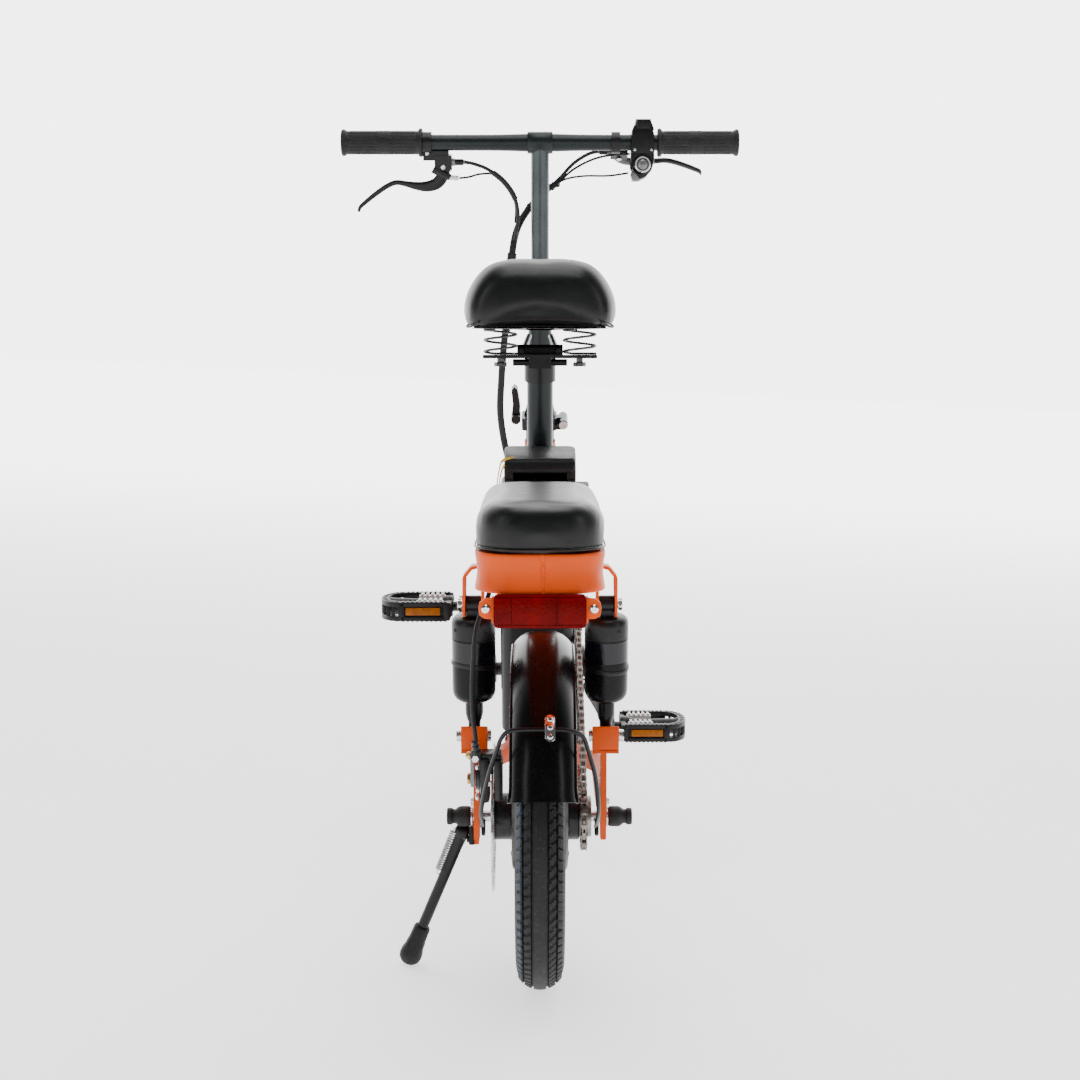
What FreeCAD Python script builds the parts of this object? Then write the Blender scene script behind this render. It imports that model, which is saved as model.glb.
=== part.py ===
import FreeCAD, Part
import math
import operator
import os
from types import SimpleNamespace

import Sketcher
from FreeCAD import Placement, Rotation, Vector

# A folding electric bicycle. Design frame: +X is the rider's right, +Y forward and +Z up, with Y = 0 at
# the rear axle and X = 0 on the centre plane. At the end the whole bicycle leans on to its kickstand.

DRIVING = {
    "wheel_radius": 182,
    "tyre_section": 27,
    "tyre_wall": 3.5,
    "rim_radius": 136.7,
    "rim_half_width": 21,
    "wheelbase": 880,
    "axle_radius": 6,
    "running_gap": 0.05,
    "rotor_radius": 80,
    "rotor_thickness": 2,
    "motor_radius": 60,
    "motor_half_width": 30,
    "bottom_bracket_y": 345,
    "bottom_bracket_z": 280,
    "seat_angle": 76,
    "seat_tube_radius": 18.5,
    "seat_post_radius": 15.5,
    "seat_post_wall": 2.2,
    "seat_tube_length": 290,
    "main_tube_radius": 30,
    "main_tube_wall": 2.2,
    "hinge_y": 520,
    "hinge_z": 387,
    "hinge_pin_x": -50,
    "hinge_knuckle_radius": 9,
    "hinge_pin_radius": 5,
    "latch_x": 49,
    "latch_behind": 6,
    "latch_pin_radius": 3,
    "head_angle": 76,
    "head_tube_radius": 20,
    "steerer_radius": 14.2,
    "stem_hinge_y": 751,
    "stem_hinge_z": 578,
    "stem_pin_x": 34,
    "stem_pin_radius": 4,
    "stem_radius": 17,
    "upper_stem_radius": 12.7,
    "stem_wall": 2,
    "bar_height": 405,
    "bar_radius": 11.1,
    "bar_half_length": 278,
    "grip_radius": 16,
    "grip_length": 113,
    "crank_length": 127,
    "crank_angle": 47,
    "chain_pitch": 12.7,
    "chainring_teeth": 44,
    "freewheel_teeth": 16,
    "chain_line": 47,
    "pedal_length": 87,
    "pedal_width": 92,
    "pedal_height": 24,
    "pedal_start": 105,
    "swing_pivot_y": 300,
    "swing_pivot_z": 197,
    "shock_x": 70,
    "shock_top_y": -30,
    "shock_top_z": 418,
    "shock_foot_y": -10,
    "shock_foot_z": 273,
    "shock_radius": 23,
    "shock_rod_radius": 10,
    "shock_bolt_radius": 4,
    "rack_half_width": 63.5,
    "rack_wall": 5,
    "rack_bottom": 452,
    "rack_height": 38,
    "rack_rear": -200,
    "pad_half_width": 62.5,
    "pad_height": 45,
    "pad_rear": -205,
    "pad_front": 95,
    "battery_half_width": 44,
    "battery_shift": -3,
    "battery_near": 25,
    "battery_depth": 67,
    "battery_foot": -46,
    "battery_length": 314,
    "battery_cap_height": 37,
    "fender_radius": 201,
    "fender_wall": 1.8,
    "fender_half_width": 33.5,
    "fender_shift": 3,
    "saddle_front": 425,
    "saddle_rear": 165,
    "saddle_half_width": 95,
    "saddle_bottom": 710,
    "saddle_height": 78,
    "kickstand_x": -79,
    "kickstand_y": 12,
    "kickstand_z": 160,
    "kickstand_radius": 6,
    "foot_radius": 12.5,
    "cable_radius": 2.5,
    "bundle_radius": 6,
    "lean": 3,
    "origin_x": -49.4,
    "origin_y": 427,
}


class Size(float):
    """A number that remembers the spreadsheet expression it is worked out from."""

    def __new__(cls, value, text):
        size = float.__new__(cls, value)
        size.text = text
        return size

    def __neg__(self):
        return Size(-float(self), f"(0 - {self.text})")


def said(value):
    return getattr(value, "text", repr(float(value)))


def worked(sign, work):
    def both(one, other):
        return Size(work(float(one), float(other)), f"({said(one)} {sign} {said(other)})")

    return both


for word, sign, work in (
    ("add", "+", operator.add),
    ("sub", "-", operator.sub),
    ("mul", "*", operator.mul),
    ("truediv", "/", operator.truediv),
):
    both = worked(sign, work)
    setattr(Size, f"__{word}__", both)
    setattr(Size, f"__r{word}__", lambda one, other, both=both: both(other, one))

doc = FreeCAD.newDocument("folding_bicycle")
sheet = doc.addObject("Spreadsheet::Sheet", "Sizes")
for row, (name, value) in enumerate(DRIVING.items(), 1):
    sheet.set(f"A{row}", name)
    sheet.set(f"B{row}", str(value))
    sheet.setAlias(f"B{row}", name)
doc.recompute()
s = SimpleNamespace(**{name: Size(sheet.get(name), f"Sizes.{name}") for name in DRIVING})

UP = (0, 0, 1)
FORWARD = (0, 1, 0)
RIGHT = (1, 0, 0)
UNTURNED = Rotation()
SIDEWAYS = Rotation(Vector(0, 0, 1), -90)
EDGEWAYS = Rotation(Vector(1, 1, 1), 120)

sub_parts = []


def keep(label, part, place=None):
    """Name a finished sub-part and put it in the bicycle's design frame."""
    part.Label = label
    if place is not None:
        part.Placement = place.multiply(part.Placement)
    sub_parts.append(part)
    return part


# ---- building blocks ------------------------------------------------------------------------------


def bind(part, **sizes):
    for name, value in sizes.items():
        setattr(part, name, float(value))
        if isinstance(value, Size):
            part.setExpression(name, value.text)
    return part


def facing(direction):
    return Rotation(Vector(*UP), Vector(*direction))


def cylinder(radius, length, start=(0, 0, 0), along=UP):
    part = bind(doc.addObject("Part::Cylinder", "cylinder"), Radius=radius, Height=length)
    part.Placement = Placement(Vector(*start), facing(along))
    return part


def rod(radius, start, end):
    """A round bar from one point to another."""
    run = Vector(*end) - Vector(*start)
    return cylinder(radius, run.Length, start, tuple(run))


def cross_rod(radius, x_low, x_high, y, z):
    return cylinder(radius, x_high - x_low, (float(x_low), y, z), RIGHT)


def block(x, y, z, turn=UNTURNED, about=(0, 0, 0)):
    """A box between three pairs of limits, turned about a point."""
    part = doc.addObject("Part::Box", "block")
    bind(part, Length=x[1] - x[0], Width=y[1] - y[0], Height=z[1] - z[0])
    corner = Vector(float(x[0]), float(y[0]), float(z[0]))
    pivot = Vector(*about)
    part.Placement = Placement(pivot + turn.multVec(corner - pivot), turn)
    return part


def ball(radius, centre):
    part = bind(doc.addObject("Part::Sphere", "ball"), Radius=radius)
    part.Placement = Placement(Vector(*centre), UNTURNED)
    return part


def torus(ring, section, centre, along=RIGHT):
    part = bind(doc.addObject("Part::Torus", "torus"), Radius1=ring, Radius2=section)
    part.Placement = Placement(Vector(*centre), facing(along))
    return part


def fuse(*parts):
    whole = doc.addObject("Part::MultiFuse", "fuse")
    whole.Shapes = list(parts)
    return whole


def cut(base, *tools):
    part = doc.addObject("Part::Cut", "cut")
    part.Base = base
    part.Tool = tools[0] if len(tools) == 1 else fuse(*tools)
    return part


def common(one, other):
    part = doc.addObject("Part::Common", "common")
    part.Base = one
    part.Tool = other
    return part


def rounded(base, radius, chosen):
    """Fillet the edges that the test picks."""
    doc.recompute()
    part = doc.addObject("Part::Fillet", "rounded")
    part.Base = base
    picked = [i for i, edge in enumerate(base.Shape.Edges, 1) if chosen(edge)]
    part.Edges = [(i, float(radius), float(radius)) for i in picked]
    return part


def runs_along(direction):
    """A test for straight edges that run along a direction."""
    axis = Vector(*direction)

    def test(edge):
        ends = [vertex.Point for vertex in edge.Vertexes]
        if len(ends) != 2:
            return False
        run = ends[1] - ends[0]
        return run.Length > 1 and abs(run.normalize().dot(axis)) > 0.99

    return test


def sketched(name, points):
    """A body with a closed outline of straight edges on its own XY plane, every corner dimensioned."""
    body = doc.addObject("PartDesign::Body", name)
    plane = next(f for f in body.Origin.OriginFeatures if f.Role == "XY_Plane")
    sketch = body.newObject("Sketcher::SketchObject", "outline")
    sketch.AttachmentSupport = (plane, [""])
    sketch.MapMode = "FlatFace"
    corners = [Vector(float(x), float(y), 0) for x, y in points]
    for i, corner in enumerate(corners):
        sketch.addGeometry(Part.LineSegment(corner, corners[(i + 1) % len(corners)]), False)
    for i in range(len(corners)):
        after = (i + 1) % len(corners)
        sketch.addConstraint(Sketcher.Constraint("Coincident", i, 2, after, 1))
    for i, point in enumerate(points):
        for kind, value in zip(("DistanceX", "DistanceY"), point):
            index = sketch.addConstraint(Sketcher.Constraint(kind, -1, 1, i, 1, float(value)))
            if isinstance(value, Size):
                sketch.setExpression(f"Constraints[{index}]", value.text)
    return body, sketch


def prism(name, points, depth, place=None):
    """An outline padded from its plane along local Z."""
    body, sketch = sketched(name, points)
    pad = body.newObject("PartDesign::Pad", "pad")
    pad.Profile = sketch
    bind(pad, Length=depth)
    body.Placement = place or Placement()
    return body


def plate(name, points, x_low, thickness):
    """An outline in the YZ plane, padded along +X."""
    return prism(name, points, thickness, Placement(Vector(float(x_low), 0, 0), EDGEWAYS))


def turned(name, profile, place=None, angle=360):
    """A profile of (radius, height) corners revolved about local Y."""
    body, sketch = sketched(name, profile)
    revolution = body.newObject("PartDesign::Revolution", "revolution")
    revolution.Profile = sketch
    revolution.ReferenceAxis = (sketch, ["V_Axis"])
    bind(revolution, Angle=angle)
    body.Placement = place or Placement()
    return body


def smooth_path(points, arc_share=0.45):
    """Straight runs joined by tangent arcs as large as the shorter run allows."""
    corners = [Vector(*point) for point in points]
    edges = []
    start = corners[0]
    radii = []
    for before, corner, after in zip(corners, corners[1:], corners[2:]):
        back = (before - corner).normalize()
        ahead = (after - corner).normalize()
        reach = arc_share * min((before - corner).Length, (after - corner).Length)
        half_turn = (math.pi - back.getAngle(ahead)) / 2
        radius = reach / math.tan(half_turn)
        radii.append(radius)
        enter = corner + back * reach
        leave = corner + ahead * reach
        inward = (back + ahead).normalize()
        middle = corner + inward * (radius / math.cos(half_turn) - radius)
        edges.append(Part.LineSegment(start, enter).toShape())
        edges.append(Part.Arc(enter, middle, leave).toShape())
        start = leave
    edges.append(Part.LineSegment(start, corners[-1]).toShape())
    return Part.Wire(edges), radii


def bent_rod(name, points, radius, arc_share=0.45):
    """A round rod or cable along a smooth path."""
    path, radii = smooth_path(points, arc_share)
    first = Vector(*points[1]) - Vector(*points[0])
    ring = Part.Wire(Part.makeCircle(float(radius), Vector(*points[0]), first))
    shape = path.makePipeShell([ring], True, True)
    section = math.pi * float(radius) ** 2
    told = shape.Volume / (section * path.Length)
    print(name, "length", round(path.Length, 1), "volume share", round(told, 3), "bend", round(min(radii)))
    part = doc.addObject("Part::Feature", name)
    part.Shape = shape
    return part


def along_seat(up, behind, x=0.0):
    """A point given by its height along the seat tube and its distance behind the tube's axis."""
    tilt = math.radians(s.seat_angle)
    y = s.bottom_bracket_y - up * math.cos(tilt) - behind * math.sin(tilt)
    z = s.bottom_bracket_z + up * math.sin(tilt) - behind * math.cos(tilt)
    return Vector(float(x), float(y), float(z))


# local frames: along the seat tube, and along the steering axis from the stem's fold hinge
SEAT_TURN = Rotation(Vector(1, 0, 0), 90 - float(s.seat_angle))
seat_frame = Placement(along_seat(0, 0), SEAT_TURN)
STEER_TURN = Rotation(Vector(1, 0, 0), 90 - float(s.head_angle))
stem_frame = Placement(Vector(0, float(s.stem_hinge_y), float(s.stem_hinge_z)), STEER_TURN)


def wheel_place(y):
    return Placement(Vector(0, float(y), float(s.wheel_radius)), UNTURNED)


# ---- wheels ---------------------------------------------------------------------------------------


def tyre(label, y):
    ring = s.wheel_radius - s.tyre_section
    outside = torus(ring, s.tyre_section, (0, 0, 0))
    inside = torus(ring, s.tyre_section - s.tyre_wall, (0, 0, 0))
    seat = cross_rod(s.rim_radius + 0.3, -40, 40, 0, 0)
    keep(label, cut(outside, inside, seat), wheel_place(y))


def cast_rim(label, y, hub_radius, hub_half_width, spokes, bore):
    """A cast wheel: a channel rim, flat spokes and a hub ring."""
    rim_top = s.rim_radius
    half = s.rim_half_width
    deep = rim_top - 19
    profile = (
        (deep, -half + 5),
        (deep, half - 5),
        (rim_top - 6, half + 3),
        (rim_top + 2, half + 3),
        (rim_top + 2, half + 1),
        (rim_top, half + 1),
        (rim_top, half - 6),
        (rim_top - 8, half - 9),
        (rim_top - 8, 9 - half),
        (rim_top, 6 - half),
        (rim_top, -half - 1),
        (rim_top + 2, -half - 1),
        (rim_top + 2, -half - 3),
        (rim_top - 6, -half - 3),
    )
    rim = turned("rim", profile, Placement(Vector(), SIDEWAYS))
    hub = cross_rod(hub_radius + 6, -hub_half_width, hub_half_width, 0, 0)
    arms = []
    for i in range(spokes):
        turn = Rotation(Vector(1, 0, 0), 360 / spokes * i)
        arms.append(block((-7, 7), (-9, 9), (hub_radius + 2, deep + 3), turn))
    solid = fuse(rim, hub, *arms)
    bored = cross_rod(bore, -hub_half_width - 1, hub_half_width + 1, 0, 0)
    keep(label, cut(solid, bored), wheel_place(y))


def rotor(label, y, x, bore):
    disc = cross_rod(s.rotor_radius, x, x + s.rotor_thickness, 0, 0)
    holes = [cross_rod(bore, x - 1, x + 3, 0, 0)]
    for i in range(6):
        angle = math.radians(60 * i + 15)
        holes.append(cross_rod(12, x - 1, x + 3, 42 * math.cos(angle), 42 * math.sin(angle)))
    for i in range(24):
        angle = math.radians(15 * i)
        distance = 64 + 6 * (i % 3)
        at = (distance * math.cos(angle), distance * math.sin(angle))
        holes.append(cross_rod(2.5, x - 1, x + 3, *at))
    keep(label, cut(disc, *holes), wheel_place(y))


def hub_motor():
    """The motor's shell, with a step on the left for the rotor and one on the right for the freewheel."""
    bore = s.axle_radius + s.running_gap
    edge = s.motor_half_width
    shell = s.motor_radius - 0.1
    profile = (
        (bore, -52),
        (16.9, -52),
        (16.9, -49),
        (25, -49),
        (25, -edge),
        (shell - 8, -edge),
        (shell, -edge + 6),
        (shell, edge - 6),
        (shell - 8, edge),
        (25, edge),
        (25, 42),
        (bore, 42),
    )
    keep("hub_motor", turned("motor", profile, Placement(Vector(), SIDEWAYS)), wheel_place(0))


def sprocket(teeth, thickness, bore):
    """A toothed disc: roller seats cut round a circle, centred on local Z."""
    pitch_radius = s.chain_pitch / (2 * math.sin(math.pi / float(teeth)))
    disc = cylinder(pitch_radius + 3.2, thickness)
    seats = [cylinder(bore, thickness + 2, (0, 0, -1))]
    for i in range(int(teeth)):
        angle = 2 * math.pi * (i + 0.5) / float(teeth)
        at = (pitch_radius * math.cos(angle), pitch_radius * math.sin(angle), -1)
        seats.append(cylinder(4, thickness + 2, at))
    return cut(disc, *seats)


def freewheel():
    toothed = sprocket(s.freewheel_teeth, 2.2, 20)
    toothed.Placement = Placement(Vector(float(s.chain_line) - 1.1, 0, 0), facing(RIGHT))
    core = cut(cross_rod(22, 42.4, 55, 0, 0), cross_rod(s.axle_radius + 2, 40, 60, 0, 0))
    keep("freewheel", fuse(toothed, core), wheel_place(0))


def front_axle():
    nuts = [cross_rod(8.5, x, x + 9, 0, 0) for x in (-59.2, 50.2)]
    spindle = cross_rod(s.axle_radius, -62, 62, 0, 0)
    keep("front_axle", fuse(spindle, *nuts), wheel_place(s.wheelbase))


def rear_axle():
    """The motor's fixed axle, with a rubber cap over each nut."""
    spindle = cross_rod(s.axle_radius, -73, 71, 0, 0)
    caps = []
    for side, start in ((-1, 73), (1, 71.5)):
        bulb = cylinder(11, 15, (side * start, 0, 0), (side, 0, 0))
        neck = cylinder(8.5, 26, (side * start, 0, 0), (side, 0, 0))
        caps.append(fuse(bulb, neck))
    keep("rear_axle", fuse(spindle, *caps), wheel_place(0))


# ---- rear frame -----------------------------------------------------------------------------------


def seat_tube():
    """Seat tube, bottom-bracket shell, battery rail, and the bracket that carries the swingarm."""
    tube = cylinder(s.seat_tube_radius, s.seat_tube_length)
    tube.Placement = seat_frame
    bore = cylinder(s.seat_post_radius + s.running_gap, s.seat_tube_length - 40)
    bore.Placement = seat_frame.multiply(Placement(Vector(0, 0, 45), UNTURNED))
    y = s.bottom_bracket_y
    z = s.bottom_bracket_z
    shell = cross_rod(21, -34, 34, y, z)
    bearing = cross_rod(8.55, -40, 40, y, z)
    rail = block((-8, 8), (-20.5, -15), (30, 240))
    rail.Placement = seat_frame.multiply(rail.Placement)
    outline = (
        (y - 8, z - 15),
        (y + 16, z - 15),
        (y + 16, z - 88),
        (y + 3, z - 96),
        (s.swing_pivot_y - 14, s.swing_pivot_z - 13),
        (s.swing_pivot_y - 14, s.swing_pivot_z + 12),
        (y - 15, z - 68),
        (y - 3, z - 58),
    )
    bracket = plate("bracket", outline, -15, 30)
    pivot = cross_rod(s.shock_bolt_radius + 1.05, -20, 20, s.swing_pivot_y, s.swing_pivot_z)
    shelf = block((-24, 24), (-88, -22), (-52, -48))
    rib = block((-10, 10), (-58, -22), (-72, -50))
    for part in (shelf, rib):
        part.Placement = seat_frame.multiply(part.Placement)
    keep("seat_tube", cut(fuse(tube, shell, rail, bracket, shelf, rib), bore, bearing, pivot))


def main_tube_ends():
    """The main tube's axis where it meets the seat tube, the hinge and the head tube."""
    slope = 0.35
    seat_y = s.bottom_bracket_y - 10
    head_y = s.stem_hinge_y + 21
    return (
        (0, float(seat_y), float(s.hinge_z) - slope * float(s.hinge_y - seat_y)),
        (0, float(s.hinge_y), float(s.hinge_z)),
        (0, float(head_y), float(s.hinge_z) + slope * float(head_y - s.hinge_y)),
    )


def hinge_half(side):
    """One half of the frame's fold hinge: a flange and its knuckles. Side is -1 behind, +1 in front."""
    y = s.hinge_y
    z = s.hinge_z
    pin = s.hinge_pin_x
    near = 0.2
    y_low = y + near if side > 0 else y - 12
    flange = block((-38, 40), (y_low, y_low + 12 - near), (z - 38, z + 38))
    flange = rounded(flange, 10, lambda edge: runs_along(FORWARD)(edge) and edge.Vertexes[0].X > 0)
    spans = ((z - 13.7, z + 13.7),) if side > 0 else ((z - 38, z - 14), (z + 14, z + 38))
    knuckles = []
    for low, high in spans:
        knuckles.append(cylinder(s.hinge_knuckle_radius, high - low, (pin, y, low)))
        link_low = y + near if side > 0 else y - 9
        knuckles.append(block((pin, -36), (link_low, link_low + 9 - near), (low, high)))
    bore = s.hinge_pin_radius + (s.running_gap if side > 0 else 0)
    return fuse(flange, *knuckles), cylinder(bore, 100, (pin, y, z - 50))


def main_tubes():
    """Both halves of the main tube, each mitred to the tube that it is welded to."""
    seat, middle, head = main_tube_ends()
    half_rear, bore_rear = hinge_half(-1)
    half_front, bore_front = hinge_half(1)
    behind = block((-60, 60), (s.hinge_y - 0.2, s.hinge_y + 60), (300, 480))
    ahead = block((-60, 60), (s.hinge_y - 60, s.hinge_y + 0.2), (300, 480))
    mitre = cylinder(s.seat_tube_radius, 330)
    mitre.Placement = seat_frame.multiply(Placement(Vector(0, 0, -20), UNTURNED))
    back = block((-60, 60), (200, 330), (200, 480), SEAT_TURN, (0, 330, 320))
    shell = cross_rod(21, -40, 40, s.bottom_bracket_y, s.bottom_bracket_z)
    inside = s.main_tube_radius - s.main_tube_wall
    rear = cut(rod(s.main_tube_radius, seat, middle), behind, rod(inside, seat, middle))
    pivot = frame_latch_pivot()
    keep("main_tube_rear", cut(fuse(rear, half_rear, *pivot), mitre, shell, back, bore_rear))
    closed = block((-60, 60), (-3, 80), (-220, 20))
    closed.Placement = stem_frame.multiply(closed.Placement)
    hollow = cut(rod(inside, middle, head), closed)
    front = cut(rod(s.main_tube_radius, middle, head), ahead, hollow)
    outer = cylinder(s.head_tube_radius, 180, (0, 0, -180))
    outer.Placement = stem_frame.multiply(outer.Placement)
    tip = block((-60, 60), (0, 80), (-220, 20))
    tip.Placement = stem_frame.multiply(tip.Placement)
    keep("main_tube_front", cut(fuse(front, half_front), outer, tip, bore_front))
    pin = cylinder(s.hinge_pin_radius, 80, (s.hinge_pin_x, s.hinge_y, s.hinge_z - 40))
    caps = [cylinder(8, 3, (s.hinge_pin_x, s.hinge_y, s.hinge_z + at)) for at in (-41, 38)]
    keep("frame_hinge_pin", fuse(pin, *caps))


def frame_latch_pivot():
    """Two ears on the rear flange and the pin between them, for the latch lever."""
    x = s.latch_x
    y = s.hinge_y
    z = s.hinge_z
    ears = [block((38, 56), (y - 12, y - 0.2), (z + at, z + at + 4.6)) for at in (-20, 15.4)]
    pin = cylinder(s.latch_pin_radius, 40, (x, y - s.latch_behind, z - 20))
    return (*ears, pin)


def frame_latch():
    """The lever on the right that presses the two flanges together."""
    x = s.latch_x
    y = s.hinge_y - s.latch_behind
    z = s.hinge_z
    boss = cylinder(7, 30, (x, y, z - 15))
    lever = prism(
        "lever",
        ((44, y - 22), (52, y - 22), (54, y - 56), (50, y - 108), (45, y - 110), (44, y - 66)),
        18,
        Placement(Vector(0, 0, float(z) - 9), UNTURNED),
    )
    jaw = block((42, 54), (y - 28, y), (z - 14, z + 14))
    bore = cylinder(s.latch_pin_radius + s.running_gap, 40, (x, y, z - 20))
    keep("frame_latch_lever", cut(fuse(boss, lever, jaw), bore))


def rear_rack():
    """The orange band round the deck, the deck, the cross tube in front and the bridge over the fender."""
    outer = s.rack_half_width
    bottom = s.rack_bottom
    top = bottom + s.rack_height
    rear = s.rack_rear
    front = 322
    band = block((-outer, outer), (rear, front), (bottom, top))
    band = rounded(band, 42, lambda edge: runs_along(UP)(edge) and edge.Vertexes[0].Y < -100)
    wall = s.rack_wall
    hollow = block((wall - outer, outer - wall), (rear + wall, front + 10), (bottom - 1, top + 1))
    hollow = rounded(hollow, 37, lambda edge: runs_along(UP)(edge) and edge.Vertexes[0].Y < -100)
    deck = block((-outer + wall - 1, outer - wall + 1), (rear + 45, 130), (top - 6, top - 1))
    middle = along_seat((bottom + 20 - s.bottom_bracket_z) / math.sin(math.radians(s.seat_angle)), -26)
    cross = cross_rod(9, -outer, outer, middle.y, middle.z)
    mitre = cylinder(s.seat_tube_radius, 330)
    mitre.Placement = seat_frame
    bridge = block((-25, 20), (60, 65), (396, top - 3))
    keep("rear_rack", cut(fuse(cut(band, hollow), deck, cross, bridge), mitre))


def reflector_bracket():
    """The plate behind the reflector, its two ears, and the tabs that hold the tops of the shocks."""
    rear = s.rack_rear
    bottom = s.rack_bottom
    sheet_part = block((-50, 50), (rear + 1, rear + 4), (418, bottom - 0.1))
    ears = []
    for side in (-1, 1):
        outline = ((44, 422), (54, 424), (58, 430), (58, 444), (50, 449), (44, 449))
        ear = prism("ear", [(side * x, z) for x, z in outline], 3)
        ear.Placement = Placement(Vector(0, float(rear) + 4, 0), Rotation(Vector(1, 0, 0), 90))
        ears.append(ear)
    tabs = []
    y = s.shock_top_y
    z = s.shock_top_z
    for side in (-1, 1):
        for low, high, top in ((58.5, 61.5, bottom - 0.1), (79, 82, z + 25)):
            x_low = low if side > 0 else -high
            tabs.append(block((x_low, x_low + 3), (y - 13, y + 13), (z - 10, top)))
        x_low = 58.5 if side > 0 else -82
        tabs.append(block((x_low, x_low + 23.5), (y - 13, y + 13), (z + 22, z + 25)))
    holes = cross_rod(s.shock_bolt_radius, -100, 100, y, z)
    keep("reflector_bracket", cut(fuse(sheet_part, *ears, *tabs), holes))


def reflector():
    rear = s.rack_rear
    lens = block((-44, 44), (rear - 8, rear + 0.9), (421, 450))
    keep("rear_reflector", rounded(lens, 2.5, runs_along(FORWARD)))


def pillion_pad():
    base = s.rack_bottom + s.rack_height + 0.3
    half = s.pad_half_width
    pad = block((-half, half), (s.pad_rear, s.pad_front), (base, base + s.pad_height))
    pad = rounded(pad, 40, runs_along(UP))
    keep("pillion_pad", rounded(pad, 11, lambda edge: edge.BoundBox.ZMin > float(base) + 40))


def shock_bolts(y, z, low, high):
    bolts = []
    for side in (-1, 1):
        bolts.append(cylinder(s.shock_bolt_radius - 0.05, high - low, (side * low, y, z), (side, 0, 0)))
        bolts.append(cylinder(6.5, 4, (side * high, y, z), (side, 0, 0)))
    return bolts


def upper_shock_bolts():
    keep("upper_shock_bolts", fuse(*shock_bolts(s.shock_top_y, s.shock_top_z, 56, 82.2)))


def seat_clamp():
    """The split collar on the seat tube, with its bolt lug in front."""
    low = s.seat_tube_length - 24
    collar = cylinder(23, 25.5, (0, 0, low))
    lug = block((-9, 9), (18, 38), (low + 4, low + 22))
    hole = cylinder(s.seat_tube_radius, 60, (0, 0, low - 10))
    slot = block((-1, 1), (10, 50), (low - 1, low + 30))
    keep("seat_clamp", cut(fuse(collar, lug), hole, slot), seat_frame)


def seat_clamp_lever():
    """A cam lever on the right of the seat clamp's lug."""
    height = s.seat_tube_length - 11
    cam = cylinder(6.5, 12, (16, 30, height - 6))
    root = block((16, 28), (25, 34), (height - 5, height + 5))
    arm = block((24, 28), (-22, 34), (height - 5, height + 5))
    arm = rounded(arm, 4.5, lambda edge: runs_along(RIGHT)(edge) and edge.Vertexes[0].Y < 0)
    keep("seat_clamp_lever", fuse(cam, root, arm), seat_frame)


# ---- battery --------------------------------------------------------------------------------------


def battery():
    """The case, set to the left so that it clears the chain, and its cap with the lifting handle."""
    near = -s.battery_near
    far = near - s.battery_depth
    half = s.battery_half_width
    foot = s.battery_foot
    top = foot + s.battery_length
    shift = s.battery_shift
    case = rounded(block((shift - half, shift + half), (far, near), (foot, top)), 13, runs_along(UP))
    keep("battery_case", case, seat_frame)
    cap_half = half - 2
    high = top + s.battery_cap_height
    lid = block((-cap_half, cap_half), (far + 2, near - 2), (top + 0.1, high))
    lid = rounded(lid, 9, runs_along(UP))
    grip_gap = block((12 - cap_half, cap_half - 12), (far - 5, far + 26), (high - 24, high - 8))
    keep("battery_cap", cut(lid, grip_gap), seat_frame)


# ---- seat -----------------------------------------------------------------------------------------


def seat_post():
    bottom = 165
    top = 408
    post = cylinder(s.seat_post_radius, top - bottom, (0, 0, bottom))
    inside = cylinder(s.seat_post_radius - s.seat_post_wall, top - bottom - 6, (0, 0, bottom - 1))
    keep("seatpost", cut(post, inside), seat_frame)


def saddle_frame():
    """The clamp on the post, two rails and the plate under the springs."""
    middle = along_seat(410, 0)
    z = 680
    clamp = block((-27, 27), (middle.y - 17, middle.y + 17), (z - 7, z + 9))
    clamp = rounded(clamp, 5, runs_along(RIGHT))
    collar = cylinder(18.5, 26, (0, 0, 378))
    collar.Placement = seat_frame.multiply(collar.Placement)
    bolt = cross_rod(4, -32, 32, middle.y - 20, z - 12)
    lug = block((-13, 13), (middle.y - 27, middle.y - 10), (z - 19, z - 5))
    socket = cylinder(s.seat_post_radius, 60, (0, 0, 352))
    socket.Placement = seat_frame.multiply(socket.Placement)
    rails = []
    for side in (-1, 1):
        route = ((side * 22, 196, z), (side * 22, 330, z), (side * 14, 402, z + 20))
        rails.append(bent_rod("rail", route, 3.5))
    tray = block((-66, 66), (182, 216), (z - 7, z - 3))
    keep("saddle_frame", cut(fuse(clamp, collar, lug, bolt, tray, *rails), socket))


def saddle_springs():
    """Two open coils between the tray and the saddle's base."""
    coils = []
    for side in (-1, 1):
        spine = bind(doc.addObject("Part::Helix", "coil"), Pitch=10, Height=28, Radius=18)
        section = bind(doc.addObject("Part::Circle", "wire"), Radius=1.9)
        section.Placement = Placement(Vector(18, 0, 0), Rotation(Vector(1, 0, 0), 90))
        coil = doc.addObject("Part::Sweep", "spring")
        coil.Sections = [section]
        coil.Spine = (spine, ["Edge1"])
        coil.Solid = True
        coil.Frenet = True
        coil.Placement = Placement(Vector(side * 46, 199, 679.1), UNTURNED)
        coils.append(coil)
    keep("saddle_springs", fuse(*coils))


def saddle_cushion():
    """The saddle's base and padding as one plain solid, wide behind and narrow at the nose."""
    half = s.saddle_half_width
    rear = s.saddle_rear
    nose = s.saddle_front
    outline = [(-40, rear), (40, rear), (half - 12, rear + 14), (half, rear + 50), (half - 8, rear + 92)]
    outline += [(46, rear + 140), (28, nose - 60), (24, nose - 8), (14, nose)]
    outline += [(-x, y) for x, y in reversed(outline[2:])]
    place = Placement(Vector(0, 0, float(s.saddle_bottom)), UNTURNED)
    body = prism("saddle", outline, s.saddle_height, place)
    crown = rounded(body, 9, lambda edge: edge.BoundBox.ZMin > float(s.saddle_bottom) + 70)
    keep("saddle_cushion", crown)


# ---- drive ----------------------------------------------------------------------------------------


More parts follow.
